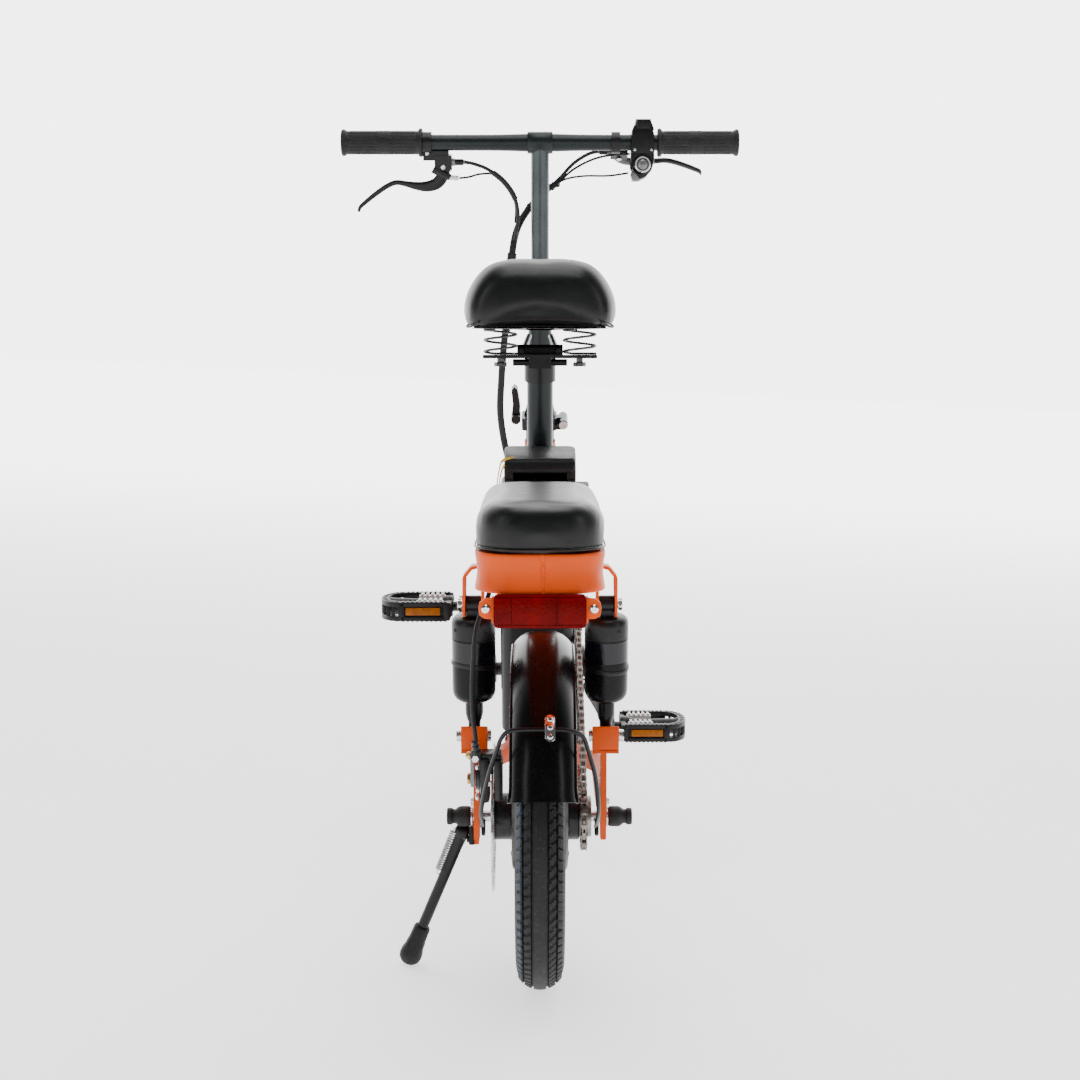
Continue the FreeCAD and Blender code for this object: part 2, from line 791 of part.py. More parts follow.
def crank_arm(side):
    """One crank arm, dished outwards to the pedal, with its pedal spindle."""
    length = s.crank_length
    edge = ((-14, 55), (-14, 70), (26, 72), (104, 98))
    edge += ((length + 13, 98), (length + 13, 85), (108, 84), (30, 57))
    dished = prism("dished", edge, 34, Placement(Vector(0, 17, 0), Rotation(Vector(1, 0, 0), 90)))
    face = fuse(
        cylinder(17, 120),
        prism("taper", ((0, -15), (length, -11.5), (length, 11.5), (0, 15)), 120),
        cylinder(13, 120, (length, 0, 0)),
    )
    spindle = cylinder(s.axle_radius, 90, (length, 0, 90))
    whole = fuse(common(dished, face), spindle)
    angle = math.radians(s.crank_angle)
    reach = Vector(0, side * math.cos(angle), -side * math.sin(angle))
    outward = Vector(side, 0, 0)
    whole.Placement = Placement(Vector(), Rotation(reach, outward.cross(reach), outward, "ZXY"))
    return whole


def crankset():
    """Both arms, the spindle, the chainring and its spider, centred on the bottom bracket."""
    ring = sprocket(s.chainring_teeth, 2.2, 62)
    ring.Placement = Placement(Vector(float(s.chain_line) - 1.1, 0, 0), facing(RIGHT))
    spider = cross_rod(30, 50.5, 56, 0, 0)
    arms = []
    for i in range(5):
        turn = Rotation(Vector(1, 0, 0), 72 * i + 20)
        arms.append(block((48, 51.5), (-8, 8), (20, 78), turn))
    spindle = cross_rod(8.5, -60, 60, 0, 0)
    parts = [crank_arm(side) for side in (-1, 1)]
    place = Placement(Vector(0, float(s.bottom_bracket_y), float(s.bottom_bracket_z)), UNTURNED)
    keep("crankset", fuse(ring, spider, spindle, *arms, *parts), place)


def pedal_centre(side):
    angle = math.radians(s.crank_angle)
    y = s.bottom_bracket_y + side * float(s.crank_length) * math.cos(angle)
    z = s.bottom_bracket_z - side * float(s.crank_length) * math.sin(angle)
    return float(y), float(z)


def pedal(label, side):
    """A caged platform round a central barrel, rounded at its outer end."""
    half = s.pedal_width / 2
    start = s.pedal_start
    end = start + s.pedal_length
    tall = s.pedal_height / 2
    frame = block((start, end), (-half, half), (-tall, tall))
    frame = rounded(frame, 26, lambda edge: runs_along(UP)(edge) and edge.Vertexes[0].X > 150)
    windows = []
    for near, far in ((16, half - 9), (9 - half, -16)):
        windows.append(block((start + 12, end - 12), (near, far), (-tall - 1, tall + 1)))
    bore = cross_rod(s.axle_radius + s.running_gap, start - 1, end - 8, 0, 0)
    body = cut(frame, *windows, bore)
    y, z = pedal_centre(side)
    turn = UNTURNED if side > 0 else Rotation(Vector(0, 0, 1), 180)
    keep(label, body, Placement(Vector(0, y, z), turn))


def belt(offset, x_low, thickness):
    """The chain's loop, as a solid belt that far outside the pitch line."""
    big = s.chain_pitch / (2 * math.sin(math.pi / float(s.chainring_teeth))) + offset
    small = s.chain_pitch / (2 * math.sin(math.pi / float(s.freewheel_teeth))) + offset
    front = Vector(0, float(s.bottom_bracket_y), float(s.bottom_bracket_z))
    rear = Vector(0, 0, float(s.wheel_radius))
    line = front - rear
    lean = math.asin((float(big) - float(small)) / line.Length)
    heading = math.atan2(line.z, line.y)
    corners = []
    for centre, radius, side in ((rear, small, -1), (front, big, -1), (front, big, 1), (rear, small, 1)):
        angle = heading + side * (math.pi / 2 + lean)
        away = Vector(0, math.cos(angle), math.sin(angle)) * float(radius)
        corners.append((centre.y + away.y, centre.z + away.z))
    return fuse(
        cross_rod(big, x_low, x_low + thickness, front.y, front.z),
        cross_rod(small, x_low, x_low + thickness, rear.y, rear.z),
        plate("belt", corners, x_low, thickness),
    )


def chain():
    """The chain's two rows of side plates, one each side of the teeth."""
    rows = []
    for x_low in (s.chain_line - 3.3, s.chain_line + 2.1):
        rows.append(cut(belt(4, x_low, 1.2), belt(-4, x_low - 1, 3.2)))
    keep("chain", fuse(*rows))


# ---- rear suspension ------------------------------------------------------------------------------


def swingarm():
    """Dropout plates, forward arms that close in to the pivot, and the clevises under the shocks."""
    axle = s.wheel_radius
    foot_y = s.shock_foot_y
    foot_z = s.shock_foot_z
    pivot_y = s.swing_pivot_y
    pivot_z = s.swing_pivot_z
    solids = []
    for side in (-1, 1):
        outline = ((-15, 160), (9, 157), (24, 172), (30, axle + 6), (26, axle + 30))
        outline += ((4, foot_z - 15), (foot_y - 12, foot_z - 15), (-22, axle + 34), (-20, axle))
        x_low = 65 if side > 0 else -71
        solids.append(plate("dropout", outline, x_low, 6))
        inner = [(pivot_y, 24), (pivot_y, 40), (258, 40), (190, 71)]
        inner += [(16, 71), (16, 61), (180, 61), (252, 24)]
        arm = prism("arm", [(side * x, y) for y, x in inner], 18)
        arm.Placement = Placement(Vector(0, 0, float(pivot_z) - 9), UNTURNED)
        solids.append(arm)
        solids.append(cross_rod(13, *((24, 40) if side > 0 else (-40, -24)), pivot_y, pivot_z))
        low, high = (56, 84) if side > 0 else (-84, -56)
        solids.append(block((low, high), (foot_y - 12, foot_y + 12), (foot_z - 17, foot_z - 11)))
        for tab in (low, high - 4):
            solids.append(block((tab, tab + 4), (foot_y - 12, foot_y + 12), (foot_z - 17, foot_z + 7)))
    lug = block((-75, -66), (2, 24), (150, 170))
    holes = (
        cross_rod(s.axle_radius, -90, 90, 0, axle),
        cross_rod(s.shock_bolt_radius, -100, 100, foot_y, foot_z),
        cross_rod(s.shock_bolt_radius + 1, -60, 60, pivot_y, pivot_z),
    )
    keep("swingarm", cut(fuse(*solids, lug), *holes))


def swingarm_bolts():
    """The pivot bolt and the two bolts through the shocks' lower eyes."""
    y = s.swing_pivot_y
    z = s.swing_pivot_z
    pivot = [cross_rod(s.shock_bolt_radius + 1, -44, 42, y, z)]
    pivot += [cross_rod(8, x, x + 2.6, y, z) for x in (-42.7, 40.1)]
    feet = shock_bolts(s.shock_foot_y, s.shock_foot_z, 52, 84.2)
    inner = [cross_rod(6.5, x, x + 3.5, s.shock_foot_y, s.shock_foot_z) for x in (-55.8, 52.3)]
    keep("swingarm_bolts", fuse(*pivot, *feet, *inner))


def shock_line():
    top = Vector(0, float(s.shock_top_y), float(s.shock_top_z))
    foot = Vector(0, float(s.shock_foot_y), float(s.shock_foot_z))
    return top, (foot - top).Length, Rotation(Vector(0, 0, -1), foot - top)


def shock_bodies():
    """The shock cylinders, hung from their upper eyes."""
    top, _, turn = shock_line()
    radius = s.shock_radius
    profile = (
        (0, -13),
        (radius - 7, -13),
        (radius, -17),
        (radius, -108),
        (radius - 3, -117),
        (s.shock_rod_radius + 0.05, -117),
        (s.shock_rod_radius + 0.05, -40),
        (0, -40),
    )
    solids = []
    for side in (-1, 1):
        x = side * float(s.shock_x)
        upright = Placement(Vector(x, 0, 0), Rotation(Vector(1, 0, 0), 90))
        eye = fuse(cross_rod(9, x - 8, x + 8, 0, 0), block((x - 8, x + 8), (-8, 8), (-14, 0)))
        solids += [turned("body", profile, upright), eye]
    bolt = cross_rod(s.shock_bolt_radius, -100, 100, 0, 0)
    keep("shock_bodies", cut(fuse(*solids), bolt), Placement(top, turn))


def shock_rods():
    """The sliding rods with their lower eyes. The eyes are loose on their bolts."""
    top, length, turn = shock_line()
    solids = []
    for side in (-1, 1):
        x = side * float(s.shock_x)
        solids.append(cylinder(s.shock_rod_radius, length - 64, (x, 0, 4 - length)))
        solids.append(cross_rod(9, x - 8, x + 8, 0, -length))
    bolt = cross_rod(s.shock_bolt_radius + 1.2, -100, 100, 0, -length)
    keep("shock_rods", cut(fuse(*solids), bolt), Placement(top, turn))


def fender(shift, start, sweep):
    """A curved guard that begins a number of degrees above the forward horizontal and goes up and back."""
    top = s.fender_radius
    half = s.fender_half_width
    wall = s.fender_wall
    profile = (
        (top - 16, -half),
        (top - 7, -half),
        (top, 13 - half),
        (top, half - 13),
        (top - 7, half),
        (top - 16, half),
        (top - 16, half - wall),
        (top - 7.6, half - wall),
        (top - wall, half - 13.7),
        (top - wall, 13.7 - half),
        (top - 7.6, wall - half),
        (top - 16, wall - half),
    )
    turn = Rotation(Vector(1, 0, 0), 180 + start).multiply(SIDEWAYS)
    return turned("shell", profile, Placement(Vector(float(shift), 0, 0), turn), sweep)


def fenders():
    keep("front_fender", fender(0, 30, 125), wheel_place(s.wheelbase))
    shell = fender(s.fender_shift, 35, 126)
    shell.Placement = wheel_place(0).multiply(shell.Placement)
    route = ((-62, -6, 172), (-62, -100, 214), (-43, -148, 288), (-31, -158.5, 312), (37, -158.5, 312))
    route += ((49, -148, 288), (60, -100, 214), (60, -6, 172))
    keep("rear_fender", fuse(shell, bent_rod("stay", route, 2.25, 0.4)))


def rear_caliper():
    """The brake caliper over the rotor's upper rear edge."""
    x = -50
    body = rounded(block((x - 13, x + 13), (-72, -34), (212, 266)), 6, runs_along(RIGHT))
    slot = block((x - 1.6, x + 1.6), (-90, -10), (180, 258))
    mount = block((x - 14.9, x - 6), (-40, -8), (226, 240))
    bolts = [cylinder(3.5, 30, (x - 13.9, -64 + 22 * i, 252 - 30 * i), RIGHT) for i in range(2)]
    keep("rear_caliper", cut(fuse(body, mount, *bolts), slot))


def caliper_arm(label, x, y, z, reach):
    """The arm that the cable pulls, on the caliper's outer face."""
    outline = ((y - 8, z - 8), (y + 8, z - 8), (y + 8, z + 4), (y + reach + 4, z + 30))
    outline += ((y + reach - 6, z + 32), (y - 8, z + 6))
    arm = plate("pull_arm", outline, x, 4)
    hub = cross_rod(9, x, x + 5, y, z)
    keep(label, fuse(arm, hub))


def front_caliper():
    x = -30.5
    y = s.wheelbase - 50
    body = rounded(block((x - 7, x + 7), (y - 17, y + 17), (212, 264)), 4, runs_along(RIGHT))
    slot = block((x - 1.6, x + 1.6), (y - 40, y + 40), (150, 257))
    keep("front_caliper", cut(body, slot))


def kickstand():
    """A leg on a slanted hinge. Its length puts the foot on the ground when the bicycle leans."""
    hinge = Vector(-0.924, 0, 0.383)
    down = Vector(-0.38, 0.1, -0.92).normalize()
    pivot = Vector(float(s.kickstand_x), float(s.kickstand_y), float(s.kickstand_z))
    top = pivot + hinge * 5
    tilt = math.radians(s.lean)
    section = float(s.tyre_section)
    fall = section + math.sin(tilt) * top.x + math.cos(tilt) * (top.z - section) - float(s.foot_radius)
    reach = fall / -(math.sin(tilt) * down.x + math.cos(tilt) * down.z)
    knuckle = cylinder(9, 11, tuple(pivot), tuple(hinge))
    leg = rod(s.kickstand_radius, tuple(top), tuple(top + down * (reach - 8)))
    foot = ball(s.foot_radius, tuple(top + down * reach))
    sleeve = rod(9, tuple(top + down * (reach - 32)), tuple(top + down * reach))
    keep("kickstand", fuse(knuckle, leg, foot, sleeve))


# ---- front end ------------------------------------------------------------------------------------


def head_tube():
    tube = cylinder(s.head_tube_radius, 118, (0, 0, -148))
    cups = [cylinder(23, 8, (0, 0, at)) for at in (-152, -38)]
    bore = cylinder(s.steerer_radius + s.running_gap, 200, (0, 0, -170))
    keep("head_tube", cut(fuse(tube, *cups), bore), stem_frame)


def fork():
    """Steerer, crown and two legs that end in dropouts at the axle."""
    steerer = cylinder(s.steerer_radius, 180, (0, 0, -188))
    crown = block((-58, 58), (-16, 22), (-190, -152.4))
    steerer.Placement = stem_frame.multiply(steerer.Placement)
    crown = rounded(crown, 12, runs_along(UP))
    crown.Placement = stem_frame.multiply(crown.Placement)
    top = stem_frame.multVec(Vector(0, 6, -170))
    legs = []
    for side in (-1, 1):
        knee = (side * 46, float(s.wheelbase) - 12, 205)
        legs.append(rod(12, (side * 46, top.y, top.z), knee))
        legs.append(ball(12, knee))
        x_low = 42 if side > 0 else -50
        y = s.wheelbase
        tip = ((y - 22, 214), (y - 2, 214), (y + 13, 190), (y + 11, 172))
        tip += ((y, 168), (y - 11, 172), (y - 20, 200))
        legs.append(plate("tip", tip, x_low, 8))
    axle = cross_rod(s.axle_radius, -80, 80, s.wheelbase, s.wheel_radius)
    keep("fork", cut(fuse(steerer, crown, *legs), axle))


def stem_hinge(side):
    """One half of the stem's fold hinge. Side is -1 for the fixed lower half, +1 for the upper."""
    near = 0.2
    low = near if side > 0 else -9
    flange = rounded(block((-27, 25), (-23, 23), (low, low + 9 - near)), 8, runs_along(UP))
    spans = ((-7.7, 7.7),) if side > 0 else ((-23, -8), (8, 23))
    parts = [flange]
    for start, end in spans:
        parts.append(cylinder(7, end - start, (s.stem_pin_x, start, 0), FORWARD))
        link = near if side > 0 else -7
        parts.append(block((20, s.stem_pin_x), (start, end), (link, link + 7 - near)))
    bore = s.stem_pin_radius + (s.running_gap if side > 0 else 0)
    return parts, cylinder(bore, 60, (s.stem_pin_x, -30, 0), FORWARD)


def stem_parts():
    parts, bore = stem_hinge(-1)
    neck = cylinder(21, 22, (0, 0, -29.9))
    bolt = cylinder(s.steerer_radius, 24, (0, 0, -32))
    keep("stem_base", cut(fuse(neck, *parts), bore, bolt), stem_frame)
    parts, bore = stem_hinge(1)
    tube = cylinder(s.stem_radius, 190, (0, 0, 5))
    gusset = bind(doc.addObject("Part::Cone", "gusset"), Radius1=24, Radius2=17, Height=26)
    gusset.Placement = Placement(Vector(0, 0, 8), UNTURNED)
    collar = cylinder(21, 30, (0, 0, 172))
    lug = block((-10, 10), (-36, -15), (176, 198))
    hollow = cylinder(s.upper_stem_radius + s.running_gap, 300, (0, 0, 12))
    slot = block((-1, 1), (-50, -8), (168, 210))
    keep("stem_post", cut(fuse(tube, gusset, collar, lug, *parts), bore, hollow, slot), stem_frame)
    pin = cylinder(s.stem_pin_radius, 52, (s.stem_pin_x, -26, 0), FORWARD)
    heads = [cylinder(6, 3, (s.stem_pin_x, at, 0), FORWARD) for at in (-26.1, 23.1)]
    keep("stem_hinge_pin", fuse(pin, *heads), stem_frame)


def stem_latch():
    """The safety lever on the left of the stem's hinge."""
    boss = cylinder(7, 34, (-35.5, -17, 6), FORWARD)
    outline = ((-42, 4), (-30, 4), (-29, 24), (-33, 50), (-38, 54), (-42, 48), (-40, 28))
    lever = prism("lever", outline, 20)
    lever.Placement = Placement(Vector(0, 10, 0), Rotation(Vector(1, 0, 0), 90))
    keep("stem_latch_lever", fuse(boss, lever), stem_frame)


def stem_clamp_lever():
    """The cam lever on the right of the stem's collar."""
    cam = cylinder(6.5, 12, (17, -28, 181))
    arm = block((22, 26), (-31, 28), (182, 192))
    arm = rounded(arm, 4.5, lambda edge: runs_along(RIGHT)(edge) and edge.Vertexes[0].Y > 0)
    keep("stem_clamp_lever", fuse(cam, arm), stem_frame)


# ---- handlebar ------------------------------------------------------------------------------------


def handlebar():
    height = s.bar_height
    tube = cylinder(s.upper_stem_radius, height - 130, (0, 0, 130))
    inside = cylinder(s.upper_stem_radius - s.stem_wall, height - 160, (0, 0, 129))
    head = cross_rod(14.8, -17, 17, 0, height)
    hole = cross_rod(s.upper_stem_radius, -40, 40, 0, height)
    keep("upper_stem", cut(fuse(cut(tube, inside), head), hole), stem_frame)
    half = s.bar_half_length
    bar = cross_rod(s.bar_radius, -half + 2, half - 2, 0, height)
    bulge = cross_rod(s.upper_stem_radius, -58, 58, 0, height)
    inside = cross_rod(s.bar_radius - s.stem_wall, -half, half, 0, height)
    keep("handlebar", cut(fuse(bar, bulge), inside), stem_frame)
    grips = []
    for side in (-1, 1):
        start = side * (half - s.grip_length)
        outward = (side, 0, 0)
        grips.append(cylinder(s.grip_radius, s.grip_length, (start, 0, height), outward))
        grips.append(cylinder(19.5, 5, (start, 0, height), outward))
        grips.append(cylinder(18.5, 4, (side * (half - 4), 0, height), outward))
    sleeve = cross_rod(s.bar_radius, -half + 2, half - 2, 0, height)
    keep("grips", cut(fuse(*grips), sleeve), stem_frame)


def control_pod():
    """The display and switch pod on the right of the bar."""
    height = float(s.bar_height)
    level = stem_level(height)
    ring = cross_rod(17, 127, 158, 0, 0)
    body = rounded(block((127, 160), (-20, 12), (-54, 6)), 6, runs_along(UP))
    top = rounded(block((132, 156), (-14, 14), (6, 32)), 5, runs_along(UP))
    hole = cross_rod(s.bar_radius, 100, 180, 0, 0)
    well = cylinder(8.4, 12, (143, -13, -32), (0, -1, 0))
    keep("control_pod", cut(fuse(ring, body, top), hole, well), level)
    keep("mode_button", cylinder(8, 7, (143, -15.5, -32), (0, -1, 0)), level)


def stem_level(height):
    """A level frame at the bar's centre, whose X runs along the bar and Z is straight up."""
    return Placement(stem_frame.multVec(Vector(0, 0, height)), UNTURNED)


def brake_frame(side):
    """A frame at the bar's centre with X outwards to one side and Y towards the brake lever."""
    droop = 75 if side < 0 else 20
    down = math.radians(droop)
    toward = Vector(0, math.cos(down), -math.sin(down))
    outward = Vector(side, 0, 0)
    turn = Rotation(outward, toward, outward.cross(toward), "XYZ")
    return Placement(stem_level(float(s.bar_height)).Base, turn)


# how far out each brake's clamp starts, and how much further in its lever's bracket starts
BRAKE_CLAMP = {-1: 152, 1: 100}
BRAKE_OFFSET = {-1: 28, 1: 0}
LEVER_PIN = 2.5
# the blade's edge about its pivot: outwards along the bar, then away from it
LEVER_EDGE = ((-7, -3), (8, -3), (14, 10), (24, 20), (40, 21), (66, 18), (84, 24), (104, 38))
LEVER_EDGE += ((118, 49), (124, 62), (118, 62), (111, 53), (98, 45), (80, 33), (66, 27))
LEVER_EDGE += ((50, 31.5), (34, 36), (16, 34), (2, 22), (-7, 6))


def brake_mounts():
    solids = []
    for side in (-1, 1):
        clamp = BRAKE_CLAMP[side]
        start = clamp - BRAKE_OFFSET[side]
        ring = cross_rod(15, clamp, clamp + 12, 0, 0)
        arm = block((start, start + 24), (17, 38), (-7, 7))
        neck = block((start + 4, clamp + 12), (11, 24), (-6, 6))
        barrel = cross_rod(4.5, start - 16, start + 1, 27, 0)
        hole = cross_rod(s.bar_radius, -300, 300, 0, 0)
        gap = block((start - 1, start + 26), (26.5, 40), (-4.8, 4.8))
        pivot = cylinder(LEVER_PIN + s.running_gap, 20, (start + 12, 33, -10))
        mount = cut(fuse(ring, arm, neck, barrel), hole, gap, pivot)
        mount.Placement = brake_frame(side)
        solids.append(mount)
    keep("brake_mounts", fuse(*solids))


def brake_levers():
    for side, label in ((-1, "brake_lever_left"), (1, "brake_lever_right")):
        x = BRAKE_CLAMP[side] - BRAKE_OFFSET[side] + 12
        y = 33
        outline = [(x + along, y + out) for along, out in LEVER_EDGE]
        blade = prism("blade", outline, 8, Placement(Vector(0, 0, -4), UNTURNED))
        pin = cylinder(LEVER_PIN, 14, (x, y, -7))
        keep(label, fuse(blade, pin), brake_frame(side))


# ---- cables ---------------------------------------------------------------------------------------


def cables():
    """The wrapped control bundle beside the stem, and the rear brake's housing under the rack."""
    bundle = (
        (62, 688, 940),
        (26, 704, 922),
        (-12, 708, 892),
        (-38, 700, 846),
        (-44, 694, 790),
        (-48, 694, 732),
        (-54, 702, 664),
        (-58, 716, 592),
        (-52, 728, 545),
        (-42, 728, 505),
        (-38, 718, 470),
    )
    keep("cable_bundle", bent_rod("cable_bundle", bundle, s.bundle_radius))
    rear = (
        (-31.5, 500, 388),
        (-50, 455, 402),
        (-54, 398, 418),
        (-52, 330, 436),
        (-52, 270, 444),
        (-51.5, 210, 446),
        (-52.5, 150, 445),
        (-51.5, 90, 446),
        (-52.5, 30, 445),
        (-51, -20, 444),
        (-53, -62, 432),
        (-65, -82, 400),
        (-68, -86, 350),
        (-67, -84, 312),
        (-62, -74, 286),
        (-57, -62, 268),
    )
    keep("rear_brake_cable", bent_rod("rear_brake_cable", rear, s.cable_radius))


# ---- assembly -------------------------------------------------------------------------------------


def build():
    bore = s.axle_radius + s.running_gap
    tyre("front_tyre", s.wheelbase)
    tyre("rear_tyre", 0)
    cast_rim("front_rim", s.wheelbase, 20, 29.4, 6, bore)
    cast_rim("rear_rim", 0, 60, 24, 6, s.motor_radius)
    rotor("front_rotor", s.wheelbase, -31.5, 17)
    rotor("rear_rotor", 0, -51, 17)
    hub_motor()
    freewheel()
    front_axle()
    rear_axle()
    seat_tube()
    main_tubes()
    frame_latch()
    rear_rack()
    reflector_bracket()
    reflector()
    pillion_pad()
    upper_shock_bolts()
    seat_clamp()
    seat_clamp_lever()
    battery()
    seat_post()
    saddle_frame()
    saddle_springs()
    saddle_cushion()
    crankset()
    pedal("pedal_left", -1)
    pedal("pedal_right", 1)
    chain()
    swingarm()
    swingarm_bolts()
    shock_bodies()
    shock_rods()
    fenders()
    rear_caliper()
    caliper_arm("rear_caliper_arm", -68.5, -50, 236, -16)
    front_caliper()
    caliper_arm("front_caliper_arm", -42.5, float(s.wheelbase) - 54, 232, -16)
    kickstand()
    head_tube()
    fork()
    stem_parts()
    stem_latch()
    stem_clamp_lever()
    handlebar()
    control_pod()
    brake_mounts()
    brake_levers()
    cables()


def lean_over():
    """Lean the bicycle to its left about the tyres' section centres, and move the origin under it."""
    section = Vector(0, 0, float(s.tyre_section))
    turn = Placement(Vector(), Rotation(Vector(0, 1, 0), -float(s.lean)), section)
    shift = Placement(Vector(-float(s.origin_x), -float(s.origin_y), 0), UNTURNED)
    whole = shift.multiply(turn)
    for part in sub_parts:
        part.Placement = whole.multiply(part.Placement)


def check_and_export():
    wrong = [item.Label for item in doc.Objects if {"Invalid", "Error"} & set(item.State)]
    for part in sub_parts:
        if part.Shape.isNull() or not part.Shape.isValid() or not part.Shape.Solids:
            wrong.append(part.Label)
    if wrong:
        raise RuntimeError(f"failed: {wrong}")
    os.makedirs("parts", exist_ok=True)
    for part in sub_parts:
        part.Shape.exportStep(f"parts/{part.Label}.step")
    box = FreeCAD.BoundBox()
    for part in sub_parts:
        box.add(part.Shape.BoundBox)
    print(len(sub_parts), "sub-parts,", box)


build()
doc.recompute()
lean_over()
doc.recompute()
check_and_export()
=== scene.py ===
import math
import random

import bmesh
import bpy
from mathutils import Matrix, Vector


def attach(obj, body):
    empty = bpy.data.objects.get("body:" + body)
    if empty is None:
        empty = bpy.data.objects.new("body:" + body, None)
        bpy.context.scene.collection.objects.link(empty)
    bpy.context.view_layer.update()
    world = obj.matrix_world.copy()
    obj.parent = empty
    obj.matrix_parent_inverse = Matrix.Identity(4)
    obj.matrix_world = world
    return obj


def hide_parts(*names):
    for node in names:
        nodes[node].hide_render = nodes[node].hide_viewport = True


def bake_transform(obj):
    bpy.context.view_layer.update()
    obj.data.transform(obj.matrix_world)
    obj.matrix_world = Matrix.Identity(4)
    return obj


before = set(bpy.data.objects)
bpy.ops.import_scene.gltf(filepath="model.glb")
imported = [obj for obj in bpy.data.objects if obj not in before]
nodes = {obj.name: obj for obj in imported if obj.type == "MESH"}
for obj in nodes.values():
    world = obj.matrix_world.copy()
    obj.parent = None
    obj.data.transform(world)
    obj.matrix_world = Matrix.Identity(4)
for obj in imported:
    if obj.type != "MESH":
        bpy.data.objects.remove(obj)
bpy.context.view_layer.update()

# Shapes below are drawn in millimetres in the upright design frame: +X the rider's right, +Y forward,
# +Z up, the rear axle at Y = 0. TO_ROW leans them on to the kickstand and turns them into row metres.

LEAN = math.radians(3)
TYRE_SECTION = 27
LEANING = (
    Matrix.Translation((0, 0, TYRE_SECTION))
    @ Matrix.Rotation(-LEAN, 4, "Y")
    @ Matrix.Translation((0, 0, -TYRE_SECTION))
)
TO_ROW = Matrix.Scale(0.001, 4) @ Matrix.Translation((49.4, -427, 0)) @ LEANING

WHEEL_Z = 182
FRONT_Y = 880
CRANK_Y, CRANK_Z = 345, 280
CHAIN_X = 47
SIDES = (-1, 1)
TUBE_TILT = Matrix.Rotation(math.radians(14), 4, "X")
SEAT = Matrix.Translation((0, CRANK_Y, CRANK_Z)) @ TUBE_TILT
STEM = Matrix.Translation((0, 751, 578)) @ TUBE_TILT
BAR = Matrix.Translation(STEM @ Vector((0, 0, 405)))


def brake_frame(side):
    """A frame at the bar's centre with X outwards to one side and Y towards the brake lever."""
    droop = math.radians(75 if side < 0 else 20)
    out = Vector((side, 0, 0))
    toward = Vector((0, math.cos(droop), -math.sin(droop)))
    turn = Matrix((out, toward, out.cross(toward))).transposed().to_4x4()
    return BAR @ turn


# ---- materials ------------------------------------------------------------------------------------


def shade(colour, share):
    """A lighter or darker shade of a colour, opaque."""
    return tuple(min(1, c * share) for c in colour) + (1,)


def surface(name, colour, rough, metal=0.0, coat=0.0, spread=0.15, patch=30, grain=900, bump=0.15,
            rough_spread=0.08, depth=0.0003, cells=False, dust=0.0, gleam=0.5):
    """A material whose colour, roughness and relief all vary over the object."""
    material = bpy.data.materials.new(name)
    material.use_nodes = True
    tree = material.node_tree
    shader = tree.nodes["Principled BSDF"]
    shader.inputs["Metallic"].default_value = metal
    shader.inputs["Coat Weight"].default_value = coat
    shader.inputs["Specular IOR Level"].default_value = gleam
    shader.inputs["Coat Roughness"].default_value = 0.08
    place = tree.nodes.new("ShaderNodeTexCoord")
    cloud = noise_node(tree, place, patch, 4)
    ramp = tree.nodes.new("ShaderNodeValToRGB")
    ramp.color_ramp.elements[0].position = 0.32
    ramp.color_ramp.elements[1].position = 0.70
    ramp.color_ramp.elements[0].color = shade(colour, 1 - spread)
    ramp.color_ramp.elements[1].color = shade(colour, 1 + spread)
    tree.links.new(cloud.outputs["Fac"], ramp.inputs["Fac"])
    colour_out = ramp.outputs["Color"]
    if dust:
        speck = noise_node(tree, place, 260, 8)
        chosen = tree.nodes.new("ShaderNodeMapRange")
        chosen.inputs["From Min"].default_value = 0.56
        chosen.inputs["From Max"].default_value = 0.72
        chosen.inputs["To Max"].default_value = dust
        tree.links.new(speck.outputs["Fac"], chosen.inputs["Value"])
        mix = tree.nodes.new("ShaderNodeMixRGB")
        mix.inputs["Color2"].default_value = (0.33, 0.31, 0.28, 1)
        tree.links.new(chosen.outputs["Result"], mix.inputs["Fac"])
        tree.links.new(colour_out, mix.inputs["Color1"])
        colour_out = mix.outputs["Color"]
    tree.links.new(colour_out, shader.inputs["Base Color"])
    smear = noise_node(tree, place, patch * 5, 6)
    level = tree.nodes.new("ShaderNodeMapRange")
    level.inputs["To Min"].default_value = max(0.03, rough - rough_spread)
    level.inputs["To Max"].default_value = min(1, rough + rough_spread)
    tree.links.new(smear.outputs["Fac"], level.inputs["Value"])
    tree.links.new(level.outputs["Result"], shader.inputs["Roughness"])
    if cells:
        fine = tree.nodes.new("ShaderNodeTexVoronoi")
        fine.inputs["Scale"].default_value = grain
        tree.links.new(place.outputs["Object"], fine.inputs["Vector"])
        height = fine.outputs["Distance"]
    else:
        fine = noise_node(tree, place, grain, 3)
        height = fine.outputs["Fac"]
    relief = tree.nodes.new("ShaderNodeBump")
    relief.inputs["Strength"].default_value = bump
    relief.inputs["Distance"].default_value = depth
    tree.links.new(height, relief.inputs["Height"])
    tree.links.new(relief.outputs["Normal"], shader.inputs["Normal"])
    return material


def noise_node(tree, place, scale, detail):
    node = tree.nodes.new("ShaderNodeTexNoise")
    node.inputs["Scale"].default_value = scale
    node.inputs["Detail"].default_value = detail
    tree.links.new(place.outputs["Object"], node.inputs["Vector"])
    return node


